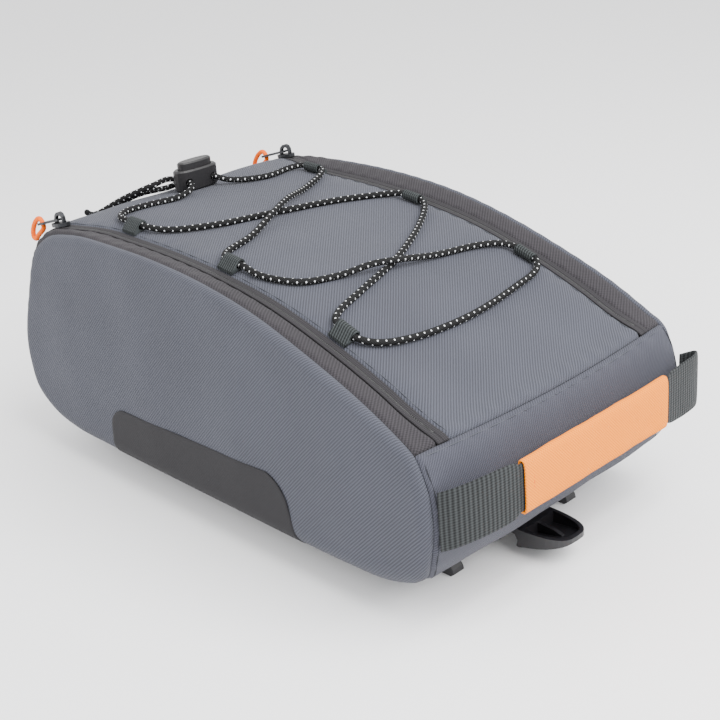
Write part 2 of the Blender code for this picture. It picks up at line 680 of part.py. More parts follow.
# A slider's bridge seen from the side, in metres: along the zip towards the tall end, and up
# from the slider's plate. It rises from the plate's tall end and hooks over to the low end.
BRIDGE_COLUMNS = ("along", "up")
BRIDGE_OUTSIDE = (
    (0.0054, -0.0006), (0.0050, 0.0022), (0.0036, 0.0046), (0.0010, 0.0062), (-0.0020, 0.0066),
    (-0.0044, 0.0056), (-0.0056, 0.0036), (-0.0056, 0.0010), (-0.0052, -0.0006),
)
BRIDGE_INSIDE = (
    (-0.0034, -0.0006), (-0.0038, 0.0012), (-0.0036, 0.0032), (-0.0026, 0.0042),
    (-0.0010, 0.0045), (0.0008, 0.0043), (0.0024, 0.0032), (0.0033, 0.0014), (0.0036, -0.0006),
)

# The cord loop on a pull bar, seen from the side, in metres from the middle of the bar's
# hole: once down through the hole, back under the bar's end and over it again.
PULL_LOOP_COLUMNS = ("along", "up")
PULL_LOOP = (
    (0.0000, 0.0000), (0.0006, -0.0028), (0.0036, -0.0044), (0.0100, -0.0064), (0.0142, -0.0084),
    (0.0166, -0.0070), (0.0154, -0.0034), (0.0110, 0.0006), (0.0060, 0.0030), (0.0018, 0.0032),
)


class Seat:
    # a place on a zip: a along the zip towards the tall end, b to the bag's right, c outwards

    def __init__(self, strip, side, before_crest, lift):
        s = strip.crest - before_crest
        w = side * strip.zip_line(s)
        self.origin = strip.point(s, w, 0, lift)
        ahead = strip.point(s + 0.002, w) - strip.point(s - 0.002, w)
        ahead[1] = 0.0
        self.a = ahead / np.linalg.norm(ahead)
        self.b = np.array([0.0, 1.0, 0.0])
        self.c = np.array([-self.a[2], 0.0, self.a[0]])
        if self.c[2] < 0:
            self.c = -self.c

    def place(self, points):
        points = np.asarray(points, float)
        return self.origin + points[:, :1] * self.a + points[:, 1:2] * self.b + points[:, 2:3] * self.c


def pull_seat(strip, side):
    # the seat moved up to the pull's hinge inside the bridge and turned down by its droop
    seat = Seat(strip, side, SLIDER_BEHIND, SLIDER_LIFT)
    seat.origin = seat.origin + seat.c * (SLIDER_THICK + PULL_AXIS)
    droop = math.radians(PULL_DROOP)
    along, out = seat.a, seat.c
    seat.a = along * math.cos(droop) - out * math.sin(droop)
    seat.c = along * math.sin(droop) + out * math.cos(droop)
    return seat


def build_slider(name, strip, side, metal):
    seat = Seat(strip, side, SLIDER_BEHIND, SLIDER_LIFT)
    points, faces = prism(oval(SLIDER_LENGTH, SLIDER_WIDTH, 3.0, 16), 0, SLIDER_THICK, "XY")
    plate = add_object(name, seat.place(points), faces, metal)
    bridge = np.array(BRIDGE_OUTSIDE + BRIDGE_INSIDE) + (0, SLIDER_THICK)
    points, faces = prism(bridge, -BRIDGE_WIDTH / 2, BRIDGE_WIDTH / 2, "XZ")
    combine(plate, cutter(name + "_bridge", seat.place(points), faces), "UNION")


def build_pull(name, strip, side, metal):
    seat = pull_seat(strip, side)
    half = PULL_WIDTH / 2
    neck = half - 0.0006
    thick = PULL_THICK / 2
    end = PULL_LENGTH
    outline = [(-0.0008, -neck), (0.0130, -neck), (0.0170, -half), (end - 0.0014, -half),
               (end, -half + 0.0014), (end, half - 0.0014), (end - 0.0014, half), (0.0170, half),
               (0.0130, neck), (-0.0008, neck)]
    points, faces = prism(outline, -thick, thick, "XY")
    bar = add_object(name, seat.place(points), faces, metal)
    slot = PULL_SLOT_WIDTH / 2
    slot = [(0.0007, -slot), (PULL_SLOT, -slot), (PULL_SLOT, slot), (0.0007, slot)]
    hole = oval(PULL_HOLE, PULL_HOLE, 2.0, 10, (PULL_HOLE_PLACE, 0.0))
    for word, profile in (("slot", slot), ("hole", hole)):
        points, faces = prism(profile, -0.004, 0.004, "XY")
        combine(bar, cutter(name + "_" + word, seat.place(points), faces), "DIFFERENCE")
    set_origin(bar, tuple(seat.origin))


def build_pull_cord(name, strip, side, cord):
    seat = pull_seat(strip, side)
    route = closed_curve(np.array(PULL_LOOP), 2)
    flat = np.stack([route[:, 0] + PULL_HOLE_PLACE, 0 * route[:, 0], route[:, 1]], axis=1)
    path = seat.place(flat)
    run = np.roll(path, -1, axis=0) - np.roll(path, 1, axis=0)
    run /= np.linalg.norm(run, axis=1)[:, None]
    out = np.cross(run, seat.b)
    sides = 5
    angle = np.arange(sides) * 2 * np.pi / sides
    radius = PULL_CORD / 2
    rings = (path[:, None] + radius * np.cos(angle)[None, :, None] * out[:, None]
             + radius * np.sin(angle)[None, :, None] * seat.b)
    count = len(path)
    number = np.arange(count * sides).reshape(count, sides)
    faces = np.concatenate([rim_faces(number[k], number[(k + 1) % count]) for k in range(count)])
    item = add_object(name, rings.reshape(-1, 3), faces, cord)
    set_origin(item, tuple(seat.origin))


def build_zip_parts(strip, metal, orange):
    for word, side in (("left", -1), ("right", 1)):
        build_slider("zip_slider_" + word, strip, side, metal)
        build_pull("zip_pull_" + word, strip, side, metal)
        build_pull_cord("pull_cord_" + word, strip, side, orange)


# A claw seen from the side: along is a share of CLAW_LENGTH from its heel, up a share of the
# height from the ground to the plate's middle.
CLAW_COLUMNS = ("along", "up")
CLAW = (
    (0.00, 0.96), (0.30, 0.26), (0.49, 0.00), (0.93, 0.00), (1.00, 0.115),
    (0.98, 0.27), (0.895, 0.50), (0.80, 0.96),
)


def plate_under():
    return BASE_HEIGHT - GAP - PLATE_THICK


def lever_axis():
    return LEVER_REACH - LEVER_LENGTH, LEVER_RIM_HEIGHT - 0.0050


def build_adapter(plastic):
    under = plate_under()
    top = under + PLATE_THICK
    end = PLATE_MIDDLE + PLATE_LENGTH / 2
    outline = oval(PLATE_LENGTH, PLATE_WIDTH, 9.0, 28, (PLATE_MIDDLE, 0.0))
    plate = add_object("adapter_plate", *prism(outline, under, top, "XY"), plastic)
    root = under + PLATE_THICK / 2
    half = CLAW_WIDTH / 2
    for word, ends in (("low", 1), ("tall", -1)):
        toe = PLATE_MIDDLE + ends * (CLAW_REACH - PLATE_MIDDLE)
        heel = toe - ends * CLAW_LENGTH
        profile = [(heel + ends * CLAW_LENGTH * a, root * u) for a, u in CLAW]
        arm = [(heel, under + 0.0003), (toe - ends * CLAW_LENGTH * 0.15, under + 0.0003),
               (toe - ends * CLAW_LENGTH * 0.15, top - 0.0004), (heel, top - 0.0004)]
        for hand, side in (("left", -1), ("right", 1)):
            y = side * CLAW_SPACING / 2
            place = "%s_%s" % (word, hand)
            combine(plate, cutter("claw_" + place, *prism(profile, y - half, y + half, "XZ")), "UNION")
            y_in = y - side * 0.0100
            low_y, high_y = min(y_in, y + side * half), max(y_in, y + side * half)
            combine(plate, cutter("arm_" + place, *prism(arm, low_y, high_y, "XZ")), "UNION")
    axis_x, axis_z = lever_axis()
    near = LEVER_WIDTH / 2 + GAP
    ear = [(end - 0.0120, top - 0.0003), (axis_x + 0.0036, top - 0.0003), (axis_x + 0.0036, axis_z),
           (axis_x + 0.0018, axis_z - 0.0034), (axis_x - 0.0022, axis_z - 0.0034),
           (end - 0.0120, under + 0.0003)]
    for hand, side in (("left", -1), ("right", 1)):
        sides = sorted((side * near, side * (near + EAR_THICK)))
        combine(plate, cutter("ear_" + hand, *prism(ear, *sides, "XZ")), "UNION")
    way = oval(LEVER_PIN + 2 * GAP, LEVER_PIN + 2 * GAP, 2.0, 12, (axis_x, axis_z))
    combine(plate, cutter("pin_way", *prism(way, -0.03, 0.03, "XZ")), "DIFFERENCE")


# The release lever seen from the side: along is a share of the way from its hinge to its
# tip, down a share of LEVER_DEPTH below its rim.
LEVER_COLUMNS = ("along", "down")
LEVER_SIDE = (
    (1.00, 0.00), (1.00, 0.26), (0.93, 0.37), (0.72, 0.62), (0.29, 1.00), (0.265, 0.95),
    (0.285, 0.62), (0.24, 0.34), (0.17, 0.30), (0.10, 0.60), (0.03, 0.69), (-0.05, 0.64),
    (-0.085, 0.42), (-0.06, 0.20), (0.00, 0.12), (0.08, 0.00),
)


def build_lever(plastic):
    axis_x, axis_z = lever_axis()

    def at(along, down):
        return axis_x + LEVER_LENGTH * along, LEVER_RIM_HEIGHT - LEVER_DEPTH * down

    half = LEVER_WIDTH / 2
    lever = add_object("release_lever", *prism([at(*row) for row in LEVER_SIDE], -half, half, "XZ"),
                       plastic)
    plan = oval(2 * LEVER_LENGTH, LEVER_WIDTH, 3.2, 40, (axis_x, 0.0))
    combine(lever, cutter("lever_plan", *prism(plan, -0.01, 0.04, "XY")), "INTERSECT")

    well = [at(0.36, -0.5), at(0.36, 0.66), at(0.66, 0.44), at(0.88, 0.22), at(0.93, 0.14), at(0.93, -0.5)]
    wells = cutter("lever_wells", *prism(well, -half, half, "XZ"))
    inner = oval(2 * (LEVER_LENGTH - LEVER_WALL), LEVER_WIDTH - 2 * LEVER_WALL, 3.2, 40, (axis_x, 0.0))
    combine(wells, cutter("well_plan", *prism(inner, -0.01, 0.04, "XY")), "INTERSECT")
    rib = [at(0.30, 0.10), at(0.62, 0.16), at(0.76, 0.30), at(0.80, 0.60), at(0.60, 0.90), at(0.30, 0.90)]
    combine(wells, cutter("lever_rib", *prism(rib, -0.0011, 0.0011, "XZ")), "DIFFERENCE")
    combine(lever, wells, "DIFFERENCE")
    bore = oval(LEVER_PIN + 2 * GAP, LEVER_PIN + 2 * GAP, 2.0, 12, (axis_x, axis_z))
    combine(lever, cutter("lever_bore", *prism(bore, -0.03, 0.03, "XZ")), "DIFFERENCE")
    set_origin(lever, (axis_x, 0.0, axis_z))

    reach = LEVER_WIDTH / 2 + GAP + EAR_THICK
    pin = oval(LEVER_PIN, LEVER_PIN, 2.0, 12, (axis_x, axis_z))
    add_object("lever_pin", *prism(pin, -reach, reach, "XZ"), plastic)


# The bungee cord's route, chosen by hand, in metres: where it lies over the lid, and how far
# its centre is above the lid. It runs from one tail through the lock's right hole, round the
# six loops and back through the left hole to the other tail.
CORD_COLUMNS = ("x", "y", "above")
CORD_ROUTE = (
    (-0.1600, -0.0330, 0.0025), (-0.1535, -0.0302, 0.0026), (-0.1470, -0.0270, 0.0027),
    (-0.1412, -0.0224, 0.0027), (-0.1360, -0.0180, 0.0026), (-0.1345, -0.0060, 0.0024), (-0.1360, 0.0085, 0.0052), (-0.1289, 0.0131, 0.0067),
    (-0.1151, 0.0131, 0.0061), (-0.1070, 0.0190, 0.0032), (-0.0960, 0.0400, 0.0022),
    (-0.0965, 0.0615, 0.0026), (-0.0918, 0.0690, 0.0034), (-0.0754, 0.0690, 0.0034),
    (-0.0700, 0.0635, 0.0026), (-0.0570, 0.0380, 0.0022), (-0.0420, 0.0115, 0.0061),
    (-0.0320, -0.0065, 0.0063), (-0.0180, -0.0370, 0.0024), (-0.0090, -0.0610, 0.0025),
    (-0.0019, -0.0690, 0.0034), (0.0125, -0.0690, 0.0034), (0.0270, -0.0685, 0.0023),
    (0.0440, -0.0590, 0.0022), (0.0520, -0.0370, 0.0024), (0.0575, -0.0180, 0.0060),
    (0.0620, -0.0030, 0.0062), (0.0655, 0.0240, 0.0023), (0.0710, 0.0530, 0.0022),
    (0.0770, 0.0650, 0.0028), (0.0837, 0.0690, 0.0034), (0.0977, 0.0690, 0.0034),
    (0.1035, 0.0630, 0.0026), (0.1085, 0.0380, 0.0022), (0.1130, -0.0040, 0.0022),
    (0.1105, -0.0440, 0.0022), (0.1045, -0.0630, 0.0026), (0.0977, -0.0690, 0.0034),
    (0.0837, -0.0690, 0.0034), (0.0780, -0.0630, 0.0026), (0.0690, -0.0370, 0.0022),
    (0.0565, 0.0015, 0.0021), (0.0370, 0.0400, 0.0021), (0.0195, 0.0645, 0.0026),
    (0.0125, 0.0690, 0.0034), (-0.0019, 0.0690, 0.0034), (-0.0085, 0.0645, 0.0026),
    (-0.0250, 0.0380, 0.0021), (-0.0370, 0.0000, 0.0021), (-0.0490, -0.0420, 0.0021),
    (-0.0620, -0.0640, 0.0025), (-0.0764, -0.0690, 0.0034), (-0.0908, -0.0690, 0.0034),
    (-0.1030, -0.0670, 0.0025), (-0.1110, -0.0570, 0.0022), (-0.1100, -0.0400, 0.0022),
    (-0.1065, -0.0220, 0.0024), (-0.1085, -0.0105, 0.0042), (-0.1151, -0.0053, 0.0061),
    (-0.1289, -0.0053, 0.0067), (-0.1330, -0.0095, 0.0076), (-0.1318, -0.0220, 0.0068),
    (-0.1395, -0.0300, 0.0042), (-0.1460, -0.0345, 0.0033), (-0.1522, -0.0390, 0.0028),
    (-0.1565, -0.0450, 0.0026), (-0.1568, -0.0515, 0.0026), (-0.1500, -0.0600, 0.0027),
)


def build_cord(strip, cord):
    # the route's points, with one more from the smooth curve in each of its long stretches
    route = np.array(CORD_ROUTE)
    smooth = closed_curve(route, 2)[:2 * len(route) - 1]
    reach = np.linalg.norm(np.diff(route, axis=0), axis=1)
    between = reach[:, None] > 0.0175
    keep = np.column_stack([between | True, between]).ravel()
    smooth = smooth[np.append(keep, True)]
    s = strip.length_at(smooth[:, 0])
    centre = strip.point(s, smooth[:, 1], 0, smooth[:, 2])
    curve = bpy.data.curves.new("bungee_cord", "CURVE")
    curve.dimensions = "3D"
    curve.bevel_depth = CORD_DIAMETER / 2
    curve.bevel_resolution = 2
    curve.use_fill_caps = True
    line = curve.splines.new("POLY")
    line.points.add(len(centre) - 1)
    for point, place in zip(line.points, centre):
        point.co = (*place, 1.0)
    curve.materials.append(cord)
    item = bpy.data.objects.new("bungee_cord", curve)
    bpy.context.scene.collection.objects.link(item)


def main():
    clear_scene()
    strip = Strip()
    cloth = finish("padded polyester", (0.19, 0.20, 0.24), 0.85)
    band_cloth = finish("band polyester", (0.15, 0.14, 0.15), 0.85)
    zip_tape = finish("zip tape", (0.14, 0.13, 0.14), 0.80)
    rubber = finish("rubberised cloth", (0.11, 0.11, 0.12), 0.60)
    webbing = finish("ribbed webbing", (0.12, 0.13, 0.13), 0.80)
    orange = finish("orange cloth", (0.85, 0.42, 0.16), 0.80)
    elastic = finish("bungee cord", (0.03, 0.03, 0.03), 0.70)
    plastic = finish("hard plastic", (0.04, 0.04, 0.045), 0.45)
    metal = finish("zip slider metal", (0.16, 0.16, 0.17), 0.35, 0.8)
    build_shell(strip, cloth, band_cloth, zip_tape)
    build_patches(strip, rubber)
    build_handle(strip, webbing, orange)
    build_cord_loops(strip, webbing)
    build_cord(strip, elastic)
    build_lock(strip, plastic)
    build_zip_parts(strip, metal, orange)
    build_adapter(plastic)
    build_lever(plastic)


main()
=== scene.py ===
import math

import bmesh
import bpy
import numpy as np
from mathutils import Matrix, Vector


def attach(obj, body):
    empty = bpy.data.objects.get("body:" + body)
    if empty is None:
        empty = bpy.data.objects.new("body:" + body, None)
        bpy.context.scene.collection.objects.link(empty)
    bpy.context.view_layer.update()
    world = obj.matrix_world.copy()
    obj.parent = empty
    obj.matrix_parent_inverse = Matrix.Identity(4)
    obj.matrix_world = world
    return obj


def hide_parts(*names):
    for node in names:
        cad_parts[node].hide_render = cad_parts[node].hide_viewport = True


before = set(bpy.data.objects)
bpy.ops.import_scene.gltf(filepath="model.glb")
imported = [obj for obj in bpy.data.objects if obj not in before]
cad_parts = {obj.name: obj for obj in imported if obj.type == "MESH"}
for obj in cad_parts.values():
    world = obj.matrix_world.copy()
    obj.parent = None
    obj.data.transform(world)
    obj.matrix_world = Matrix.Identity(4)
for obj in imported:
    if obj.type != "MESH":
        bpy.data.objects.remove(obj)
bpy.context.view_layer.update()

# sizes shared with the solids, in metres
bagLength, bagHeight, bagWidth = 0.3649, 0.1405, 0.2090
baseHeight, handleReach, tallCrown = 0.0175, 0.0195, 0.0040
sideFullest, topLean, baseLean, endPinch = 0.0700, 0.0045, 0.0015, 0.0020
zipWidth, halfSpan, cornerSpan, zipDrop = 0.0070, 0.0795, 0.0895, 0.0480
trough, troughReach, seamBow = 0.0026, 0.0085, 0.0040
seamGap = 0.0001             # between the dressed panels, narrower than between the solids
walls = {"side": 0.0034, "lid": 0.0026, "end": 0.0026, "base": 0.0030, "band": 0.0020, "zip": 0.0013,
         "sleeve": 0.0011}
tallX = (tallCrown - bagLength - handleReach) / 2
lowX = tallX + bagLength
topZ = baseHeight + bagHeight
middleX = (tallX + lowX) / 2

# the bag's outline from the side: along, up, roll, seam angle, crown
outline = np.array([
    (0.9665, 0.5835, 0.030, 15, 0.55), (0.9400, 0.6200, 0.028, 0, 0.10),
    (0.8700, 0.7120, 0.028, 0, 0.00), (0.7660, 0.8160, 0.028, 0, 0.00),
    (0.6615, 0.9020, 0.027, 0, -0.25), (0.5520, 0.9620, 0.021, 0, -0.80),
    (0.4286, 0.9940, 0.018, 0, -0.80), (0.3050, 1.0000, 0.018, 0, -0.40),
    (0.2090, 0.9970, 0.030, 35, 0.00), (0.1326, 0.9710, 0.050, 55, 0.25),
    (0.0806, 0.8720, 0.055, 50, 0.80), (0.0395, 0.6500, 0.055, 35, 1.20),
    (0.0080, 0.4450, 0.062, 15, 1.05), (0.0000, 0.3025, 0.070, 0, 1.00),
    (0.0110, 0.1500, 0.072, 0, 0.70), (0.0640, 0.0440, 0.070, 0, 0.20),
    (0.1380, 0.0040, 0.067, 0, 0.00), (0.2230, 0.0000, 0.067, 0, 0.00),
    (0.3500, 0.0000, 0.067, 0, 0.00), (0.5000, 0.0000, 0.067, 0, 0.00),
    (0.6500, 0.0000, 0.067, 0, 0.00), (0.8000, 0.0000, 0.067, 0, 0.00),
    (0.9070, 0.0180, 0.067, 0, 0.00), (0.9600, 0.0800, 0.062, 10, 0.25),
    (0.9880, 0.1890, 0.053, 30, 0.50), (1.0000, 0.3310, 0.048, 35, 0.75),
    (0.9960, 0.4520, 0.048, 35, 0.85), (0.9810, 0.5420, 0.038, 30, 0.85),
])

# the cord's route over the lid: x, y and height of its centre above the cloth
cordRoute = np.array([
    (-0.1600, -0.0330, 0.0025), (-0.1535, -0.0302, 0.0026), (-0.1470, -0.0270, 0.0027),
    (-0.1412, -0.0224, 0.0027), (-0.1360, -0.0180, 0.0026), (-0.1345, -0.0060, 0.0024),
    (-0.1360, 0.0085, 0.0052), (-0.1289, 0.0131, 0.0067),
    (-0.1151, 0.0131, 0.0061), (-0.1070, 0.0190, 0.0032), (-0.0960, 0.0400, 0.0022),
    (-0.0965, 0.0615, 0.0026), (-0.0918, 0.0690, 0.0034), (-0.0754, 0.0690, 0.0034),
    (-0.0700, 0.0635, 0.0026), (-0.0570, 0.0380, 0.0022), (-0.0420, 0.0115, 0.0061),
    (-0.0320, -0.0065, 0.0063), (-0.0180, -0.0370, 0.0024), (-0.0090, -0.0610, 0.0025),
    (-0.0019, -0.0690, 0.0034), (0.0125, -0.0690, 0.0034), (0.0270, -0.0685, 0.0023),
    (0.0440, -0.0590, 0.0022), (0.0520, -0.0370, 0.0024), (0.0575, -0.0180, 0.0060),
    (0.0620, -0.0030, 0.0062), (0.0655, 0.0240, 0.0023), (0.0710, 0.0530, 0.0022),
    (0.0770, 0.0650, 0.0028), (0.0837, 0.0690, 0.0034), (0.0977, 0.0690, 0.0034),
    (0.1035, 0.0630, 0.0026), (0.1085, 0.0380, 0.0022), (0.1130, -0.0040, 0.0022),
    (0.1105, -0.0440, 0.0022), (0.1045, -0.0630, 0.0026), (0.0977, -0.0690, 0.0034),
    (0.0837, -0.0690, 0.0034), (0.0780, -0.0630, 0.0026), (0.0690, -0.0370, 0.0022),
    (0.0565, 0.0015, 0.0021), (0.0370, 0.0400, 0.0021), (0.0195, 0.0645, 0.0026),
    (0.0125, 0.0690, 0.0034), (-0.0019, 0.0690, 0.0034), (-0.0085, 0.0645, 0.0026),
    (-0.0250, 0.0380, 0.0021), (-0.0370, 0.0000, 0.0021), (-0.0490, -0.0420, 0.0021),
    (-0.0620, -0.0640, 0.0025), (-0.0764, -0.0690, 0.0034), (-0.0908, -0.0690, 0.0034),
    (-0.1030, -0.0670, 0.0025), (-0.1110, -0.0570, 0.0022), (-0.1100, -0.0400, 0.0022),
    (-0.1065, -0.0220, 0.0024), (-0.1085, -0.0105, 0.0042), (-0.1151, -0.0053, 0.0061),
    (-0.1289, -0.0053, 0.0067), (-0.1330, -0.0095, 0.0076), (-0.1318, -0.0220, 0.0068),
    (-0.1395, -0.0300, 0.0042), (-0.1460, -0.0345, 0.0033), (-0.1522, -0.0390, 0.0028),
    (-0.1565, -0.0450, 0.0026), (-0.1568, -0.0515, 0.0026), (-0.1500, -0.0600, 0.0027),
])


# the photo's view, in degrees: round from the bag's left side, up, and about its own axis
cameraSizes = {"round": 48.0944, "up": 23.2948, "roll": -5.0, "lens": 64.404, "sensor": 36.0,
               "place": (0.5355, -0.4604, 0.3726)}


def addCamera():
    a, e, turn = np.radians([cameraSizes[key] for key in ("round", "up", "roll")])
    back = np.array([math.sin(a) * math.cos(e), -math.cos(a) * math.cos(e), math.sin(e)])
    side = np.array([math.cos(a), math.sin(a), 0.0])
    over = np.cross(back, side)
    right = math.cos(turn) * side + math.sin(turn) * over
    up = -math.sin(turn) * side + math.cos(turn) * over
    camera = bpy.data.objects.new("camera", bpy.data.cameras.new("camera"))
    camera.data.lens = cameraSizes["lens"]
    camera.data.sensor_width = cameraSizes["sensor"]
    camera.data.clip_start = 0.01
    place = Matrix.Identity(4)
    for k in range(3):
        place[k][0], place[k][1], place[k][2] = right[k], up[k], back[k]
        place[k][3] = cameraSizes["place"][k]
    camera.matrix_world = place
    bpy.context.scene.collection.objects.link(camera)
    bpy.context.scene.camera = camera


def closedCurve(points, steps):
    # centripetal Catmull-Rom curve once round the points
    before, after = np.roll(points, 1, axis=0), np.roll(points, -2, axis=0)
    end = np.roll(points, -1, axis=0)

    def span(a, b):
        return np.sqrt(np.linalg.norm((b - a)[:, :2], axis=1))[:, None]

    t01, t12, t23 = span(before, points), span(points, end), span(end, after)
    leave = t12 * ((points - before) / t01 - (end - before) / (t01 + t12) + (end - points) / t12)
    arrive = t12 * ((end - points) / t12 - (after - points) / (t12 + t23) + (after - end) / t23)
    u = (np.arange(steps) / steps)[None, :, None]
    curve = ((2 * u**3 - 3 * u**2 + 1) * points[:, None] + (u**3 - 2 * u**2 + u) * leave[:, None]
             + (3 * u**2 - 2 * u**3) * end[:, None] + (u**3 - u**2) * arrive[:, None])
    return curve.reshape(-1, points.shape[1])


def ease(value, start, end):
    # 0 before start, 1 after end, and 3 t squared less 2 t cubed between them
    t = np.clip((value - start) / (end - start), 0, 1)
    return t * t * (3 - 2 * t)


def sideHalf(x, z):
    # half the bag's width less three leans: powers of the way up, down and to either end
    up = np.clip((z - sideFullest) / (topZ - sideFullest), 0, None)
    down = np.clip((sideFullest - z) / (sideFullest - baseHeight), 0, None)
    end = (x - middleX) / (bagLength / 2)
    return bagWidth / 2 - topLean * up**1.2 - baseLean * down**2 - endPinch * end**4


def wander(a, b, seed=0.0):
    # a smooth uneven field from -1 to 1: products of slow waves over two lengths
    first = np.sin(41 * a + 23 * b + seed) * np.sin(31 * b - 37 * a + 1.7 * seed + 1.3)
    second = np.sin(97 * a - 61 * b + 2.1 * seed) * np.sin(83 * b + 58 * a + 0.6)
    return 0.7 * first + 0.3 * second


# strip: the cloth that runs round the bag between its side panels
class Strip:
    def __init__(self):
        rows, steps = outline, 40
        real = np.stack([tallX + bagLength * rows[:, 0], baseHeight + bagHeight * rows[:, 1],
                         bagWidth * rows[:, 2], np.radians(rows[:, 3]), tallCrown * rows[:, 4]], axis=1)
        curve = closedCurve(real, steps)
        curve = np.concatenate([curve, curve[:1]])
        step = np.linalg.norm(np.diff(curve[:, :2], axis=0), axis=1)
        self.length = np.concatenate([[0], np.cumsum(step)])
        self.total = self.length[-1]
        self.rowLength = self.length[:-1:steps]
        run = np.gradient(np.concatenate([curve[-2:-1, :2], curve[:, :2], curve[1:2, :2]]), axis=0)[1:-1]
        run /= np.linalg.norm(run, axis=1)[:, None]
        self.columns = np.column_stack([curve, run[:, 1], -run[:, 0]])
        self.crest = self.rowLength[9]
        self.zipEnd = self.crest + zipDrop
        self.tallFoot, self.lowFoot = self.rowLength[16], self.rowLength[21]

    def at(self, s):
        # x, z, roll, seam angle, crown and outward normal at a length round the bag
        s = np.asarray(s, float) % self.total
        return [np.interp(s, self.length, column) for column in self.columns.T]

    def flat(self, s):
        # half the width between the rolls: the side's place at the roll's centre, less the roll
        x, z, roll, seam, crown, nx, nz = self.at(s)
        return sideHalf(x - nx * roll, z - nz * roll) - roll

    def limit(self, s):
        # half the width out to the seams: the flat part and the roll's arc up to its seam
        x, z, roll, seam, crown, nx, nz = self.at(s)
        return self.flat(s) + roll * seam

    def zipLine(self, s):
        # how far the zip runs from the middle, eased from its place on top to the corners'
        return halfSpan + (cornerSpan - halfSpan) * ease(s, self.crest - 0.055, self.crest - 0.005)

    def point(self, s, w, depth=0.0, lift=0.0):
        # length s and place w across: flat, then an arc of the roll, crowned in the middle and
        # creased along the zip by a bell curve
        s, w = np.broadcast_arrays(np.asarray(s, float), np.asarray(w, float))
        x, z, roll, seam, crown, nx, nz = self.at(s)
        flat = self.flat(s)
        reach = np.minimum(np.abs(w), flat)
        turn = np.clip((np.abs(w) - flat) / roll, 0, np.pi / 2)
        y = np.sign(w) * (reach + (roll - depth + lift) * np.sin(turn))
        inset = depth - lift + (roll - depth + lift) * (1 - np.cos(turn))
        rise = crown * (1 - (reach / flat) ** 4)
        zipped = ease(s, 0, 0.030) * (1 - ease(s, self.zipEnd - 0.010, self.zipEnd))
        zipped = zipped * (1 - 0.6 * ease(s, self.crest - 0.060, self.crest - 0.010))
        offZip = (np.abs(w) - self.zipLine(s)) / troughReach
        offSeam = np.clip((flat + roll * seam - np.abs(w)) / zipWidth, 0, 1)
        out = rise - trough * zipped * offSeam * np.exp(-offZip**2) - inset
        return np.stack([x + nx * out, y, z + nz * out], axis=-1)

    def normal(self, s, w):
        x, z, roll, seam, crown, nx, nz = self.at(s)
        turn = np.clip((np.abs(w) - self.flat(s)) / roll, 0, np.pi / 2)
        return np.stack([nx * np.cos(turn), np.sign(w) * np.sin(turn), nz * np.cos(turn)], axis=-1)

    def lengthAt(self, x):
        # length along the top at which the strip stands over x
        top = self.length <= self.rowLength[13]
        return np.interp(-np.asarray(x, float), -self.columns[top, 0], self.length[top])


strip = Strip()


def gridFaces(rows, columns, offset=0):
    # quads of a grid of points, counted row by row
    i, j = np.meshgrid(np.arange(rows - 1), np.arange(columns - 1), indexing="ij")
    first = (offset + i * columns + j).ravel()
    return np.stack([first, first + columns, first + columns + 1, first + 1], axis=1)


def rimFaces(outer, inner):
    # quads between two closed loops of point numbers
    return np.stack([outer, np.roll(outer, -1), np.roll(inner, -1), inner], axis=1)


def addMesh(name, points, faces, material, flat=None, body="bag", replaced=()):
    # flat holds each point's place on the unrolled cloth, in metres, kept as the UV map
    name = name.replace(" ", "-")
    mesh = bpy.data.meshes.new(name)
    mesh.from_pydata(np.asarray(points).tolist(), [], [list(map(int, f)) for f in faces])
    if flat is not None:
        layer = mesh.uv_layers.new(name="cloth")
        corner = np.zeros(len(mesh.loops), dtype=np.int32)
        mesh.loops.foreach_get("vertex_index", corner)
        layer.data.foreach_set("uv", np.asarray(flat, float)[corner].ravel())
    work = bmesh.new()
    work.from_mesh(mesh)
    bmesh.ops.recalc_face_normals(work, faces=work.faces)
    work.to_mesh(mesh)
    work.free()
    mesh.materials.append(material)
    mesh.shade_smooth()
    item = bpy.data.objects.new(name, mesh)
    bpy.context.scene.collection.objects.link(item)
    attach(item, body)
    if replaced:
        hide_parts(*replaced)
    return item


def shell(name, outer, inner, flat, material, replaced):
    # a wall between two grids of points, closed round its edge
    rows, columns = outer.shape[:2]
    number = np.arange(rows * columns).reshape(rows, columns)
    edge = np.concatenate([number[0, :-1], number[:-1, -1], number[-1, :0:-1], number[:0:-1, 0]])
    faces = np.concatenate([gridFaces(rows, columns), gridFaces(rows, columns, rows * columns)[:, ::-1],
                            rimFaces(edge, edge + rows * columns)])
    points = np.concatenate([outer.reshape(-1, 3), inner.reshape(-1, 3)])
    flat = np.concatenate([flat.reshape(-1, 2)] * 2)
    return addMesh(name, points, faces, material, flat, "bag", replaced)


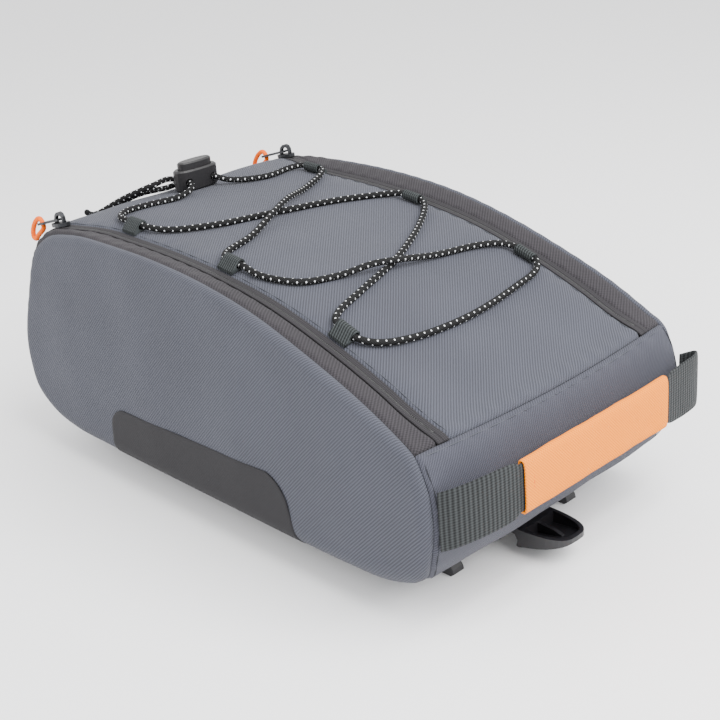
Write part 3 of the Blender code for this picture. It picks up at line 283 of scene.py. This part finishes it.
def tubeAlong(path, radius, sides):
    # rings round a path; the ring's frame is carried along without twisting
    run = np.gradient(path, axis=0)
    run /= np.linalg.norm(run, axis=1)[:, None]
    across = np.zeros_like(run)
    last = np.cross(run[0], (0.2, 0.5, 0.9))
    for k, direction in enumerate(run):
        last = last - direction * last.dot(direction)
        last = last / np.linalg.norm(last)
        across[k] = last
    other = np.cross(run, across)
    turn = np.arange(sides) * 2 * np.pi / sides
    rings = (path[:, None] + radius * np.cos(turn)[None, :, None] * across[:, None]
             + radius * np.sin(turn)[None, :, None] * other[:, None])
    count = len(path)
    number = np.arange(count * sides).reshape(count, sides)
    loops = [rimFaces(number[k], number[k + 1]) for k in range(count - 1)]
    faces = [tuple(f) for block in loops for f in block]
    faces += [tuple(number[0][::-1]), tuple(number[-1])]
    length = np.concatenate([[0], np.cumsum(np.linalg.norm(np.diff(path, axis=0), axis=1))])
    flat = np.stack(np.broadcast_arrays(length[:, None], (np.arange(sides) / sides)[None, :]), axis=-1)
    return rings.reshape(-1, 3), faces, flat.reshape(-1, 2)


def resample(path, spacing):
    # the same path with its points evenly apart, about one spacing
    step = np.linalg.norm(np.diff(path, axis=0), axis=1)
    length = np.concatenate([[0], np.cumsum(step)])
    count = max(2, int(round(length[-1] / spacing)) + 1)
    wanted = np.linspace(0, length[-1], count)
    return np.stack([np.interp(wanted, length, path[:, k]) for k in range(path.shape[1])], axis=1)


print("camera and shapes ready")


# materials
def hexColor(text):
    # sRGB hex to linear
    channel = np.array([int(text[k:k + 2], 16) for k in (0, 2, 4)]) / 255
    linear = np.where(channel <= 0.04045, channel / 12.92, ((channel + 0.055) / 1.055) ** 2.4)
    return (*linear.tolist(), 1.0)


def addNode(tree, kind, inputs=(), **settings):
    node = tree.nodes.new(kind)
    for key, value in settings.items():
        setattr(node, key, value)
    for key, value in dict(inputs).items():
        if isinstance(value, bpy.types.NodeSocket):
            tree.links.new(value, node.inputs[key])
        else:
            node.inputs[key].default_value = value
    return node


def startMaterial(name, roughness, sheen=0.0, metallic=0.0):
    material = bpy.data.materials.new(name)
    material.use_nodes = True
    surface = material.node_tree.nodes["Principled BSDF"]
    surface.inputs["Roughness"].default_value = roughness
    surface.inputs["Sheen Weight"].default_value = sheen
    surface.inputs["Metallic"].default_value = metallic
    surface.inputs["Specular IOR Level"].default_value = 0.5 if roughness < 0.65 else 0.2
    return material, material.node_tree, surface


waveAtOne = 0.31416   # the wave texture's period at scale 1, in metres


def waves(tree, vector, period, angle, distort=0.0):
    # stripes of a real period in metres
    turned = addNode(tree, "ShaderNodeMapping", {"Vector": vector, "Rotation": (0, 0, math.radians(angle))})
    wave = addNode(tree, "ShaderNodeTexWave",
                   {"Vector": turned.outputs[0], "Scale": waveAtOne / period, "Distortion": distort})
    return wave.outputs["Fac"]


def weave(name, light, dark, first, second, roughness=0.85, sheen=0.2, bump=0.5, worn=0.10, laid="UV"):
    # two crossing sets of threads; first and second are (period, angle, share)
    material, tree, surface = startMaterial(name, roughness, sheen)
    place = addNode(tree, "ShaderNodeTexCoord")
    a = waves(tree, place.outputs[laid], first[0], first[1], 0.4)
    b = waves(tree, place.outputs[laid], second[0], second[1], 0.4)
    both = addNode(tree, "ShaderNodeMath", {0: a, 1: first[2]}, operation="MULTIPLY").outputs[0]
    both = addNode(tree, "ShaderNodeMath", {0: b, 1: second[2], 2: both}, operation="MULTIPLY_ADD").outputs[0]
    uneven = addNode(tree, "ShaderNodeTexNoise",
                     {"Vector": place.outputs["Object"], "Scale": 22.0, "Detail": 5.0}).outputs["Fac"]
    mixed = addNode(tree, "ShaderNodeMath", {0: uneven, 1: worn * 4, 2: -worn * 2}, operation="MULTIPLY_ADD")
    share = addNode(tree, "ShaderNodeMath", {0: both, 1: mixed.outputs[0]}, operation="ADD", use_clamp=True)
    color = addNode(tree, "ShaderNodeMix", {"Factor": share.outputs[0]}, data_type="RGBA")
    color.inputs[6].default_value = hexColor(dark)
    color.inputs[7].default_value = hexColor(light)
    tree.links.new(color.outputs[2], surface.inputs["Base Color"])
    relief = addNode(tree, "ShaderNodeBump", {"Height": both, "Strength": bump, "Distance": 0.0004})
    tree.links.new(relief.outputs[0], surface.inputs["Normal"])
    return material


def plain(name, color, roughness, metallic=0.0, grain=900.0, bump=0.12):
    # one colour with a fine moulded or brushed grain
    material, tree, surface = startMaterial(name, roughness, 0.0, metallic)
    place = addNode(tree, "ShaderNodeTexCoord")
    surface.inputs["Base Color"].default_value = hexColor(color)
    noise = addNode(tree, "ShaderNodeTexNoise", {"Vector": place.outputs["Object"], "Scale": grain})
    relief = addNode(tree, "ShaderNodeBump", {"Height": noise.outputs["Fac"], "Strength": bump,
                                              "Distance": 0.0003})
    tree.links.new(relief.outputs[0], surface.inputs["Normal"])
    return material


# the lacing cord; girth is once round it
cordSizes = {"radius": 0.0018, "girth": 0.0113, "sides": 14, "ringEvery": 0.0014,
             "fleckEvery": 0.0045, "fleckPairs": 2, "braidEvery": 0.0009}


def dottedCord(name, dark, light):
    # black braid with four staggered rows of white flecks: two sines, along and round, multiplied
    material, tree, surface = startMaterial(name, 0.75)
    place = addNode(tree, "ShaderNodeTexCoord")
    split = addNode(tree, "ShaderNodeSeparateXYZ", {0: place.outputs["UV"]})
    along = addNode(tree, "ShaderNodeMath",
                    {0: split.outputs[0], 1: 2 * math.pi / cordSizes["fleckEvery"]},
                    operation="MULTIPLY")
    around = addNode(tree, "ShaderNodeMath",
                     {0: split.outputs[1], 1: 2 * math.pi * cordSizes["fleckPairs"]},
                     operation="MULTIPLY")
    a = addNode(tree, "ShaderNodeMath", {0: along.outputs[0]}, operation="SINE")
    b = addNode(tree, "ShaderNodeMath", {0: around.outputs[0]}, operation="SINE")
    both = addNode(tree, "ShaderNodeMath", {0: a.outputs[0], 1: b.outputs[0]}, operation="MULTIPLY")
    mask = addNode(tree, "ShaderNodeMapRange",
                   {"Value": both.outputs[0], "From Min": 0.80, "From Max": 0.88})
    color = addNode(tree, "ShaderNodeMix", {"Factor": mask.outputs[0]}, data_type="RGBA")
    color.inputs[6].default_value = hexColor(dark)
    color.inputs[7].default_value = hexColor(light)
    tree.links.new(color.outputs[2], surface.inputs["Base Color"])
    scaled = addNode(tree, "ShaderNodeMapping",
                     {"Vector": place.outputs["UV"], "Scale": (1, cordSizes["girth"], 1)})
    braid = waves(tree, scaled.outputs[0], cordSizes["braidEvery"], 55)
    relief = addNode(tree, "ShaderNodeBump", {"Height": braid, "Strength": 0.5, "Distance": 0.0003})
    tree.links.new(relief.outputs[0], surface.inputs["Normal"])
    return material


# polyester twill: fine diagonal ribs that catch the light on one flank
clothMaterial = weave("polyester twill", "494b55", "2e2f35", (0.0014, 45, 0.75), (0.0008, -45, 0.25),
                      0.85, 0.06, 0.7)
endMaterial = weave("fine polyester twill", "464751", "2f3037", (0.0012, 45, 0.7), (0.0007, -45, 0.3),
                    0.85, 0.06, 0.7)
# herringbone band: warm grey zigzag rows
bandMaterial = weave("herringbone polyester", "363337", "1e1d1f", (0.0016, 38, 0.6), (0.0012, -38, 0.4),
                     0.85, 0.03, 0.7)
zipMaterial = weave("woven zip tape", "2e2c2f", "1b1a1c", (0.0011, 90, 0.6), (0.0011, 0, 0.4),
                    0.85, 0.03)
# rubber coating: smoother and darker, with the cloth's grain just showing
patchMaterial = weave("rubberised cloth", "232224", "1d1c1e", (0.0012, 45, 0.6), (0.0012, -45, 0.4),
                      0.7, 0.0, 0.15, 0.04)
# webbing: ribs across it, broken into short dashes
webMaterial = weave("ribbed webbing", "36393a", "0a0b0c", (0.0024, 0, 0.65), (0.0014, 90, 0.35),
                    0.8, 0.03, 1.0)
orangeMaterial = weave("orange cloth", "f48c0c", "d06a05", (0.0011, 45, 0.5), (0.0011, -45, 0.5),
                       0.95, 0.0, 0.6)
cordMaterial = dottedCord("bungee braid", "0c0c0d", "d5d7d9")
threadMaterial = plain("sewing thread", "47494f", 0.8, bump=0.3)
darkThread = plain("dark sewing thread", "232427", 0.8, bump=0.3)
orangeCord = plain("orange braid", "e05f05", 0.8, grain=1400.0, bump=0.5)
coilMaterial = plain("nylon coil", "121213", 0.5)
plasticMaterial = plain("satin black plastic", "131214", 0.40)
leverMaterial = plain("lever plastic", "161518", 0.38)
metalMaterial = plain("dark zip metal", "2b2c2f", 0.35, 0.75, 500.0, 0.05)
# narrow webbing: ribs along its length, so across the bag
loopMaterial = weave("loop webbing", "3a3e3f", "0d0f0f", (0.0015, 0, 0.85), (0.0011, 90, 0.15),
                     0.85, 0.0, 1.0, 0.1, "Object")
print("materials ready")


# soft panels
softPieces = {
    "sideWaves": 0.0009,     # how uneven the padded sides lie
    "lidWaves": 0.0010,
    "endWaves": 0.0011,
    "bandWaves": 0.0002,
    "pucker": 0.00034,       # gathers along a seam
    "puckerEvery": 0.0125,
    "edgeDip": 0.0011,       # how far a sewn edge tucks in
}


def tucked(distance, reach=0.0013):
    # how far a sewn edge dips at a distance from it
    return -softPieces["edgeDip"] * np.exp(-(distance / reach) ** 2)


def puckers(along, distance):
    # gathers that fade out from the seam
    wave = np.sin(2 * np.pi * along / softPieces["puckerEvery"] + 1.5 * np.sin(along * 31))
    return softPieces["pucker"] * wave * np.exp(-(distance / 0.008) ** 2) * ease(distance, 0, 0.003)


def stripPiece(name, s, w, wall, material, replaced, amount=0.0, seed=0.0):
    # w holds the places across, a row for each s; the piece's edges tuck in and its face wanders
    row = s if s.ndim == 2 else s[:, None]
    row = np.broadcast_to(row, w.shape)
    side = np.minimum(np.abs(w - w[:, :1]), np.abs(w[:, -1:] - w))
    end = np.minimum(np.abs(row - row[:1]), np.abs(row[-1:] - row))
    lift = tucked(side) + tucked(end) + puckers(row, side) + puckers(w, end)
    edge = np.minimum(side, end)
    lift = lift + amount * wander(row, w, seed) * ease(edge, 0.002, 0.030)
    outer = strip.point(row, w, 0, lift)
    inner = strip.point(row, w, wall)
    return shell(name, outer, inner, np.stack([row, w], axis=-1), material, (replaced,))


def bowed(s, near, w):
    # lengths moved by a parabola across the bag, wholly where near is 1
    share = np.clip(1 - (np.abs(w) / strip.limit(0.0)) ** 2, 0, 1)
    return s[:, None] - seamBow * share * near[:, None]


def edgeSpread(count, tight=0.6):
    # shares from 0 to 1, closer together at both ends
    t = np.linspace(0, 1, count)
    return (1 - tight) * t + tight * (1 - np.cos(t * np.pi)) / 2


def sidePanel(name, side, material):
    # the padded side: a patch blended from four stretches of the outline, then a roll to the seam
    along, up, turns = 150, 46, 9
    corner = [0, strip.rowLength[10], strip.rowLength[14], strip.rowLength[23], strip.total]
    counts = (along, up, along, up)
    edges = [np.linspace(a, b, n + 1) for a, b, n in zip(corner[:-1], corner[1:], counts)]

    def ring(s, turn, depth):
        x, z, roll, seam, crown, nx, nz = strip.at(s)
        inset = depth + (roll - depth) * (1 - np.cos(turn))
        y = side * (strip.flat(s) + (roll - depth) * np.sin(turn))
        return np.stack([x - nx * inset, y, z - nz * inset], axis=-1)

    quarter = np.pi / 2
    top, tall, base, low = [ring(e, quarter, 0)[:, [0, 2]] for e in edges]
    top, tall = top[::-1], tall[::-1]
    u = np.linspace(0, 1, along + 1)[:, None, None]
    v = np.linspace(0, 1, up + 1)[None, :, None]
    flat = ((1 - v) * base[:, None] + v * top[:, None] + (1 - u) * tall[None] + u * low[None]
            - (1 - u) * (1 - v) * base[0] - u * (1 - v) * base[-1]
            - (1 - u) * v * top[0] - u * v * top[-1])
    rim = np.minimum(np.minimum(u, 1 - u) * along * 0.0020, np.minimum(v, 1 - v) * up * 0.0028)[..., 0]
    number = np.arange((along + 1) * (up + 1)).reshape(along + 1, up + 1)
    loop = np.concatenate([number[:0:-1, -1], number[0, :0:-1], number[:-1, 0], number[-1, :-1]])
    loopS = np.concatenate([e[:-1] for e in edges])
    x, z, roll, seam, crown, nx, nz = strip.at(loopS)
    last = seam + seamGap / roll
    layers, places = [], []
    for depth in (0.0, walls["side"]):
        swell = 0.0 if depth else softPieces["sideWaves"] * wander(flat[..., 0], flat[..., 1], 2 + side)
        y = side * (sideHalf(flat[..., 0], flat[..., 1]) - depth + swell * ease(rim, 0, 0.020))
        points = [np.stack([flat[..., 0], y, flat[..., 1]], axis=-1).reshape(-1, 3)]
        laid = [flat.reshape(-1, 2)]
        for k in range(1, turns + 1):
            turn = quarter + (last - quarter) * edgeSpread(turns + 1, 0.5)[k]
            distance = (turn - last) * roll
            dip = tucked(distance) + 0.35 * puckers(loopS, distance) if depth == 0 else 0 * distance
            points.append(ring(loopS, turn, depth - dip))
            laid.append(flat.reshape(-1, 2)[loop] + np.stack([nx, nz], axis=1)
                        * ((quarter - turn) * roll)[:, None])
        layers.append(np.concatenate(points))
        places.append(np.concatenate(laid))
    size, around = len(layers[0]), len(loop)
    loops = [loop] + [np.arange(around) + number.size + k * around for k in range(turns)]
    faces = [gridFaces(along + 1, up + 1)] + [rimFaces(a, b) for a, b in zip(loops, loops[1:])]
    faces = np.concatenate(faces)
    faces = np.concatenate([faces, (faces + size)[:, ::-1], rimFaces(loops[-1], loops[-1] + size)])
    return addMesh(name, np.concatenate(layers), faces, material, np.concatenate(places), "bag",
                   (name.replace(" ", "_"),))


def buildShell():
    for name, side in (("side panel left", -1), ("side panel right", 1)):
        sidePanel(name, side, clothMaterial)
    top = strip.zipEnd * edgeSpread(200, 0.3)
    top[0], top[-1] = seamGap, strip.zipEnd - seamGap
    near = 1 - ease(top, 0, 0.050)
    inner = strip.zipLine(top) - zipWidth / 2
    outer = strip.zipLine(top) + zipWidth / 2
    places = (inner - seamGap)[:, None] * (2 * edgeSpread(90, 0.5) - 1)[None, :]
    lid = stripPiece("lid panel", bowed(top, near, places), places, walls["lid"], clothMaterial,
                     "lid_panel", softPieces["lidWaves"], 1.0)
    for word, side in (("left", -1), ("right", 1)):
        places = side * ((inner + seamGap)[:, None] + (outer - inner - 2 * seamGap)[:, None]
                         * np.linspace(0, 1, 15)[None, :])
        slit = 0.0006 * np.exp(-((np.abs(places) - strip.zipLine(top)[:, None]) / 0.0006) ** 2)
        rows = bowed(top, near, places)
        flat = np.stack([rows, places], axis=-1)
        shell("zipper " + word, strip.point(rows, places, 0, -slit),
              strip.point(rows, places, walls["zip"]), flat, zipMaterial, ("zipper_" + word,))
        start, end = (outer + seamGap)[:, None], (strip.limit(top) - seamGap)[:, None]
        places = side * (start + (end - start) * edgeSpread(26, 0.6)[None, :])
        stripPiece("zipper band " + word, bowed(top, near, places), places, walls["band"], bandMaterial,
                   "zipper_band_" + word, softPieces["bandWaves"], 3.0)
    for name, a, b, wall, amount, seed in (
            ("tall end panel", strip.zipEnd, strip.tallFoot, walls["end"], softPieces["endWaves"], 5.0),
            ("base panel", strip.tallFoot, strip.lowFoot, walls["base"], 0.0, 0.0),
            ("low end panel", strip.lowFoot, strip.total, walls["end"], softPieces["endWaves"], 7.0)):
        rows = a + seamGap + (b - a - 2 * seamGap) * edgeSpread(90, 0.4)
        places = (strip.limit(rows) - seamGap)[:, None] * (2 * edgeSpread(110, 0.6) - 1)[None, :]
        near = ease(rows, strip.total - 0.040, strip.total) if b == strip.total else 0 * rows
        material = clothMaterial if amount == 0.0 else endMaterial
        piece = stripPiece(name, bowed(rows, near, places), places, wall, material,
                           name.replace(" ", "_"), amount, seed)
    print("shell ready")


# patches low on the sides
patchSizes = {"length": 0.1740, "height": 0.0475, "rise": 0.0018, "middle": -0.0085, "taper": 0.0085,
              "corner": 0.0150, "wall": 0.0008, "foot": 0.0030}


def patchPlaces(rows, columns):
    # a trapezoid with two round top corners: x along the bag and v up the side
    size = patchSizes
    height, corner = size["height"], size["corner"]
    v = np.concatenate([np.linspace(size["foot"], height - corner, rows // 2)[:-1],
                        height - corner * (1 - np.sin(np.linspace(0, 1, rows - rows // 2 + 1) * np.pi / 2))])
    below = np.clip(v - (height - corner), 0, corner)
    rounded = corner - np.sqrt(corner**2 - below**2 * 0.97)
    half = size["length"] / 2 - size["taper"] * v / size["height"] - rounded
    share = (2 * edgeSpread(columns, 0.4) - 1)[None, :]
    rise = size["rise"] * (v / size["height"])[:, None] ** 2 * share
    return size["middle"] + half[:, None] * share, v[:, None] + rise


def patchSurface(x, v, lift, side):
    # round the base's roll first, then up the side
    roll = bagWidth * outline[19][2]
    flat = sideHalf(x, baseHeight + roll) - roll
    turn = np.clip(v / roll, 0, np.pi / 2)
    more = np.clip(v - roll * np.pi / 2, 0, None)
    z = baseHeight + roll - (roll + lift) * np.cos(turn) + more
    y = np.where(more > 0, sideHalf(x, z) + lift, flat + (roll + lift) * np.sin(turn))
    return np.stack([x, side * y, z], axis=-1)


def buildPatches():
    x, v = patchPlaces(34, 90)
    for word, side in (("left", -1), ("right", 1)):
        edge = np.minimum(np.minimum(x - x[:, :1], x[:, -1:] - x), v[-1:] - v)
        swell = softPieces["sideWaves"] * wander(x, baseHeight + v, 2 + side) * 0.8
        swell = np.maximum(swell * ease(v, 0.012, 0.035), -0.0002)
        lift = 0.0001 + patchSizes["wall"] * (0.25 + 0.35 * ease(edge, 0, 0.0009)) + swell
        shell("abrasion patch " + word, patchSurface(x, v, lift, side), patchSurface(x, v, 0.0, side),
              np.stack([x, v], axis=-1), patchMaterial, ("abrasion_patch_" + word,))
    print("patches ready")


# handle: across and bow as shares, waist inside the sleeve
handleSizes = {"height": 0.0680, "rise": 0.0070, "width": 0.0315, "waist": 0.0258, "thick": 0.0018,
               "sleeveLength": 0.1150, "sleeveWidth": 0.0290, "sleeveThick": 0.0054}
handleRows = np.array([
    (-1.00, 0.00, 0.00), (-0.95, 0.36, 0.00), (-0.88, 0.60, 0.00), (-0.80, 0.78, 0.00),
    (-0.70, 0.93, 0.10), (-0.65, 0.98, 0.35), (-0.61, 1.00, 1.00), (-0.30, 1.00, 1.00),
    (0.00, 1.00, 1.00), (0.30, 1.00, 1.00), (0.61, 1.00, 1.00), (0.65, 0.99, 0.35),
    (0.72, 0.97, 0.10), (0.80, 0.94, 0.00), (0.89, 0.88, 0.00), (0.97, 0.74, 0.00),
    (1.025, 0.46, 0.00), (1.00, 0.00, 0.00),
])


def handlePath(rows):
    # middle line of the webbing, from its foot on the low end out to the sleeve's middle
    across, bow, waist = rows.T
    seat = strip.rowLength[25]
    end = strip.limit(seat) - 0.0020
    foot = strip.point(seat, end)[0] + 0.0009
    front = lowX + handleReach - handleSizes["sleeveThick"] / 2
    x = foot + (front - foot) * bow
    return np.stack([x, across * end, handleSizes["height"] + handleSizes["rise"] * bow], axis=-1)


def roundedRing(wide, thick, count=28):
    # a flat oval outline: |a|^3 + |b|^3 = 1
    turn = np.linspace(0, 2 * np.pi, count, endpoint=False)
    c, s = np.cos(turn), np.sin(turn)
    return (thick / 2 * np.sign(c) * np.abs(c) ** 0.67, wide / 2 * np.sign(s) * np.abs(s) ** 0.4)


def buildHandle():
    size = handleSizes
    # one row more past each end, so that the smooth curve runs straight out of both seams
    rows = np.concatenate([2 * handleRows[:1] - handleRows[1:2], handleRows,
                           2 * handleRows[-1:] - handleRows[-2:-1]])
    fine = closedCurve(rows, 8)[8:8 * len(handleRows) + 1]
    path = handlePath(fine)
    run = np.gradient(path[:, :2], axis=0)
    run /= np.linalg.norm(run, axis=1)[:, None]
    out = np.stack([run[:, 1], -run[:, 0], 0 * run[:, 0]], axis=1)
    wide = size["width"] + (size["waist"] - size["width"]) * fine[:, 2]
    a, b = roundedRing(1.0, size["thick"])
    rings = path[:, None] + a[None, :, None] * out[:, None]
    rings = rings + (b[None, :] * wide[:, None])[..., None] * np.array([0, 0, 1.0])
    count, around = rings.shape[:2]
    number = np.arange(count * around).reshape(count, around)
    faces = [tuple(f) for k in range(count - 1) for f in rimFaces(number[k], number[k + 1])]
    faces += [tuple(number[0][::-1]), tuple(number[-1])]
    length = np.concatenate([[0], np.cumsum(np.linalg.norm(np.diff(path, axis=0), axis=1))])
    flat = np.stack([np.repeat(length[:, None], around, 1), b[None, :] * wide[:, None]], axis=-1)
    addMesh("handle strap", rings.reshape(-1, 3), faces, webMaterial, flat.reshape(-1, 2), "bag",
            ("handle_strap",))

    # the sleeve: an oval tube with uneven edges and a small pucker low at its right end
    y = np.linspace(-0.5, 0.5, 120) * size["sleeveLength"]
    middle = handlePath(np.array([(0.0, 1.0, 1.0)]))[0]
    layers = []
    for wall in (0.0, walls["sleeve"]):
        a, b = roundedRing(size["sleeveWidth"] - 2 * wall, size["sleeveThick"] - 2 * wall, 44)
        uneven = 1 + (0.035 * wander(y * 2.2, 0.3, 1.0) + 0.02 * np.sin(y * 160)) * (wall == 0)
        bulge = 1 + 0.10 * wander(y[:, None] * 2.5, b[None, :] * 3, 4.0) * (wall == 0)
        dent = 0.0011 * np.exp(-((y[:, None] - 0.043) / 0.006) ** 2 - ((b[None, :] + 0.006) / 0.005) ** 2)
        dent = dent * (wall == 0) * (a[None, :] > 0)
        layers.append(np.stack([middle[0] + a[None, :] * bulge - dent, y[:, None] + 0 * a[None, :],
                                middle[2] + b[None, :] * uneven[:, None]], axis=-1))
    count, around = layers[0].shape[:2]
    number = np.arange(count * around).reshape(count, around)
    faces = [rimFaces(number[k], number[k + 1]) for k in range(count - 1)]
    faces = np.concatenate(faces)
    inside = count * around
    faces = np.concatenate([faces, (faces + inside)[:, ::-1], rimFaces(number[0], number[0] + inside),
                            rimFaces(number[-1], number[-1] + inside)])
    flat = np.stack(np.broadcast_arrays(y[:, None], b[None, :]), axis=-1).reshape(-1, 2)
    sleeve = addMesh("handle sleeve", np.concatenate([p.reshape(-1, 3) for p in layers]), faces,
                     orangeMaterial, np.concatenate([flat, flat]), "bag", ("handle_sleeve",))
    print("handle ready")


def buildCord():
    # the lacing: a round braid through the route's points
    path = closedCurve(cordRoute, 10)[:10 * (len(cordRoute) - 1) + 1]
    s = strip.lengthAt(path[:, 0])
    centre = resample(strip.point(s, path[:, 1], 0, path[:, 2]), cordSizes["ringEvery"])
    points, faces, flat = tubeAlong(centre, cordSizes["radius"], cordSizes["sides"])
    addMesh("bungee cord", points, faces, cordMaterial, flat, "bag", ("bungee_cord",))
    length = np.linalg.norm(np.diff(centre, axis=0), axis=1).sum()
    print("cord ready, %.3f m" % length)


def softened(node, name, material, body, levels, swell=0.0):
    # a rounder copy of a coarse solid: its corners merged, divided and smoothed
    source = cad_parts[node]
    work = bmesh.new()
    work.from_mesh(source.data)
    bmesh.ops.remove_doubles(work, verts=work.verts, dist=0.00001)
    bmesh.ops.recalc_face_normals(work, faces=work.faces)
    if swell:
        work.normal_update()
        for vertex in work.verts:
            vertex.co += vertex.normal * swell
    name = name.replace(" ", "-")
    mesh = bpy.data.meshes.new(name)
    work.to_mesh(mesh)
    work.free()
    mesh.materials.append(material)
    mesh.shade_smooth()
    item = bpy.data.objects.new(name, mesh)
    bpy.context.scene.collection.objects.link(item)
    divide = item.modifiers.new("round", "SUBSURF")
    divide.levels = divide.render_levels = levels
    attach(item, body)
    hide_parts(node)


def spindles(name, path, normal, spacing, length, radius, material):
    # a row of stitches: small six-sided spindles lying along a path on the cloth
    joined = resample(np.concatenate([path, normal], axis=1), spacing)
    centre, up = joined[:, :3], joined[:, 3:]
    up = up / np.linalg.norm(up, axis=1)[:, None]
    run = np.gradient(centre, axis=0)
    run /= np.linalg.norm(run, axis=1)[:, None]
    side = np.cross(run, up)
    turn = np.arange(6) * np.pi / 3
    rows = [(-0.5, 0.0), (-0.3, 1.0), (0.3, 1.0), (0.5, 0.0)]
    shape = [(rows[0][0], 0.0, 0.0)]
    for along, share in rows[1:3]:
        shape += [(along, share * math.cos(t), share * math.sin(t)) for t in turn]
    shape.append((rows[3][0], 0.0, 0.0))
    shape = np.array(shape)
    points = (centre[:, None] + run[:, None] * (shape[None, :, :1] * length)
              + side[:, None] * (shape[None, :, 1:2] * radius) + up[:, None] * (shape[None, :, 2:] * radius))
    one = [(0, 1 + (k + 1) % 6, 1 + k) for k in range(6)]
    one += [(1 + k, 1 + (k + 1) % 6, 7 + (k + 1) % 6, 7 + k) for k in range(6)]
    one += [(13, 7 + k, 7 + (k + 1) % 6) for k in range(6)]
    faces = [tuple(i + 14 * n for i in face) for n in range(len(centre)) for face in one]
    addMesh(name, points.reshape(-1, 3), faces, material)


# sewing thread on the seams
threadSizes = {"every": 0.0034, "long": 0.0025, "thick": 0.00022}


def buildStitches():
    every, long, thick = threadSizes.values()
    for word, side in (("left", -1), ("right", 1)):
        s = np.linspace(0.004, strip.zipEnd - 0.004, 300)
        w = strip.zipLine(s) - zipWidth / 2 - 0.0022
        spindles("lid stitches " + word, strip.point(s, side * w, 0, 0.00002),
                 strip.normal(s, side * w), every, long, thick, threadMaterial)
        # coil of the zip
        s = np.linspace(0.006, strip.zipEnd - 0.006, 400)
        w = side * strip.zipLine(s)
        path, up = strip.point(s, w, 0, -0.0009), strip.normal(s, w)
        spindles("zip coil " + word, path, up, 0.0015, 0.0011, 0.0009, coilMaterial)
        # the low end's side seams
        s = np.linspace(strip.rowLength[23], strip.total - 0.004, 80)
        w = strip.limit(s) - 0.0026
        spindles("low end stitches " + word, strip.point(s, side * w, 0, 0.00005),
                 strip.normal(s, side * w), every, long, thick, darkThread)
    w = np.linspace(-1, 1, 120) * (strip.limit(0.0) - 0.006)
    share = np.clip(1 - (np.abs(w) / strip.limit(0.0)) ** 2, 0, 1)
    s = strip.total - seamBow * share - 0.0026
    spindles("top seam stitches", strip.point(s, w, 0, 0.00005), strip.normal(s, w), every, long, thick,
             threadMaterial)
    # rows across the sleeve's ends
    middle = handlePath(np.array([(0.0, 1.0, 1.0)]))[0]
    for word, y in (("left", -0.0515), ("right", 0.0515)):
        z = np.linspace(-0.0125, 0.0125, 30)
        path = np.stack([middle[0] + 0.0026 - 6.0 * z**2, y + 0 * z, middle[2] + z], axis=1)
        up = np.tile((1.0, 0.0, 0.0), (30, 1))
        spindles("sleeve stitches " + word, path, up, 0.0028, 0.0021, 0.0002, orangeCord)
    print("stitches ready")


def buildHard():
    for node in ("cord_lock_body", "cord_lock_button"):
        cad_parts[node].data.materials.clear()
        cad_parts[node].data.materials.append(plasticMaterial)
    for node in ("adapter_plate", "lever_pin", "release_lever"):
        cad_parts[node].data.materials.clear()
        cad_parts[node].data.materials.append(leverMaterial)
    for word in ("left", "right"):
        for node in ("zip_slider_" + word, "zip_pull_" + word):
            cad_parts[node].data.materials.clear()
            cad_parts[node].data.materials.append(metalMaterial)
        softened("pull_cord_" + word, "pull cord " + word, orangeCord, "zip_pull_" + word,
                 3, 0.0008)
        for number in (1, 2, 3):
            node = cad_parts["cord_loop_%s_%d" % (word, number)]
            node.data.materials.clear()
            node.data.materials.append(loopMaterial)
    print("hard pieces ready")


# the room's two lamps: place, size and power
lampSizes = {"key": ((0.9, 0.1, 1.1), 1.1, 45), "fill": ((-0.5, -1.2, 0.8), 1.2, 12)}
lampAim = (0, 0, 0.08)
roomLight = 1.8


def buildRoom():
    mesh = bpy.data.meshes.new("floor")
    mesh.from_pydata([(-6, -6, 0), (6, -6, 0), (6, 6, 0), (-6, 6, 0)], [], [(0, 1, 2, 3)])
    mesh.materials.append(plain("pale floor", "f2f2f3", 0.7, bump=0.0))
    floor = bpy.data.objects.new("floor", mesh)
    bpy.context.scene.collection.objects.link(floor)
    world = bpy.data.worlds.new("room")
    world.use_nodes = True
    world.node_tree.nodes["Background"].inputs[0].default_value = (1.0, 1.0, 1.0, 1.0)
    world.node_tree.nodes["Background"].inputs[1].default_value = roomLight
    bpy.context.scene.world = world
    for name, (place, size, power) in lampSizes.items():
        light = bpy.data.lights.new(name, "AREA")
        light.size, light.energy = size, power
        lamp = bpy.data.objects.new(name, light)
        lamp.location = place
        aim = Vector(lampAim) - lamp.location
        lamp.rotation_euler = aim.to_track_quat("-Z", "Y").to_euler()
        bpy.context.scene.collection.objects.link(lamp)


addCamera()
buildCord()
buildShell()
buildPatches()
buildHandle()
buildHard()
buildStitches()
buildRoom()
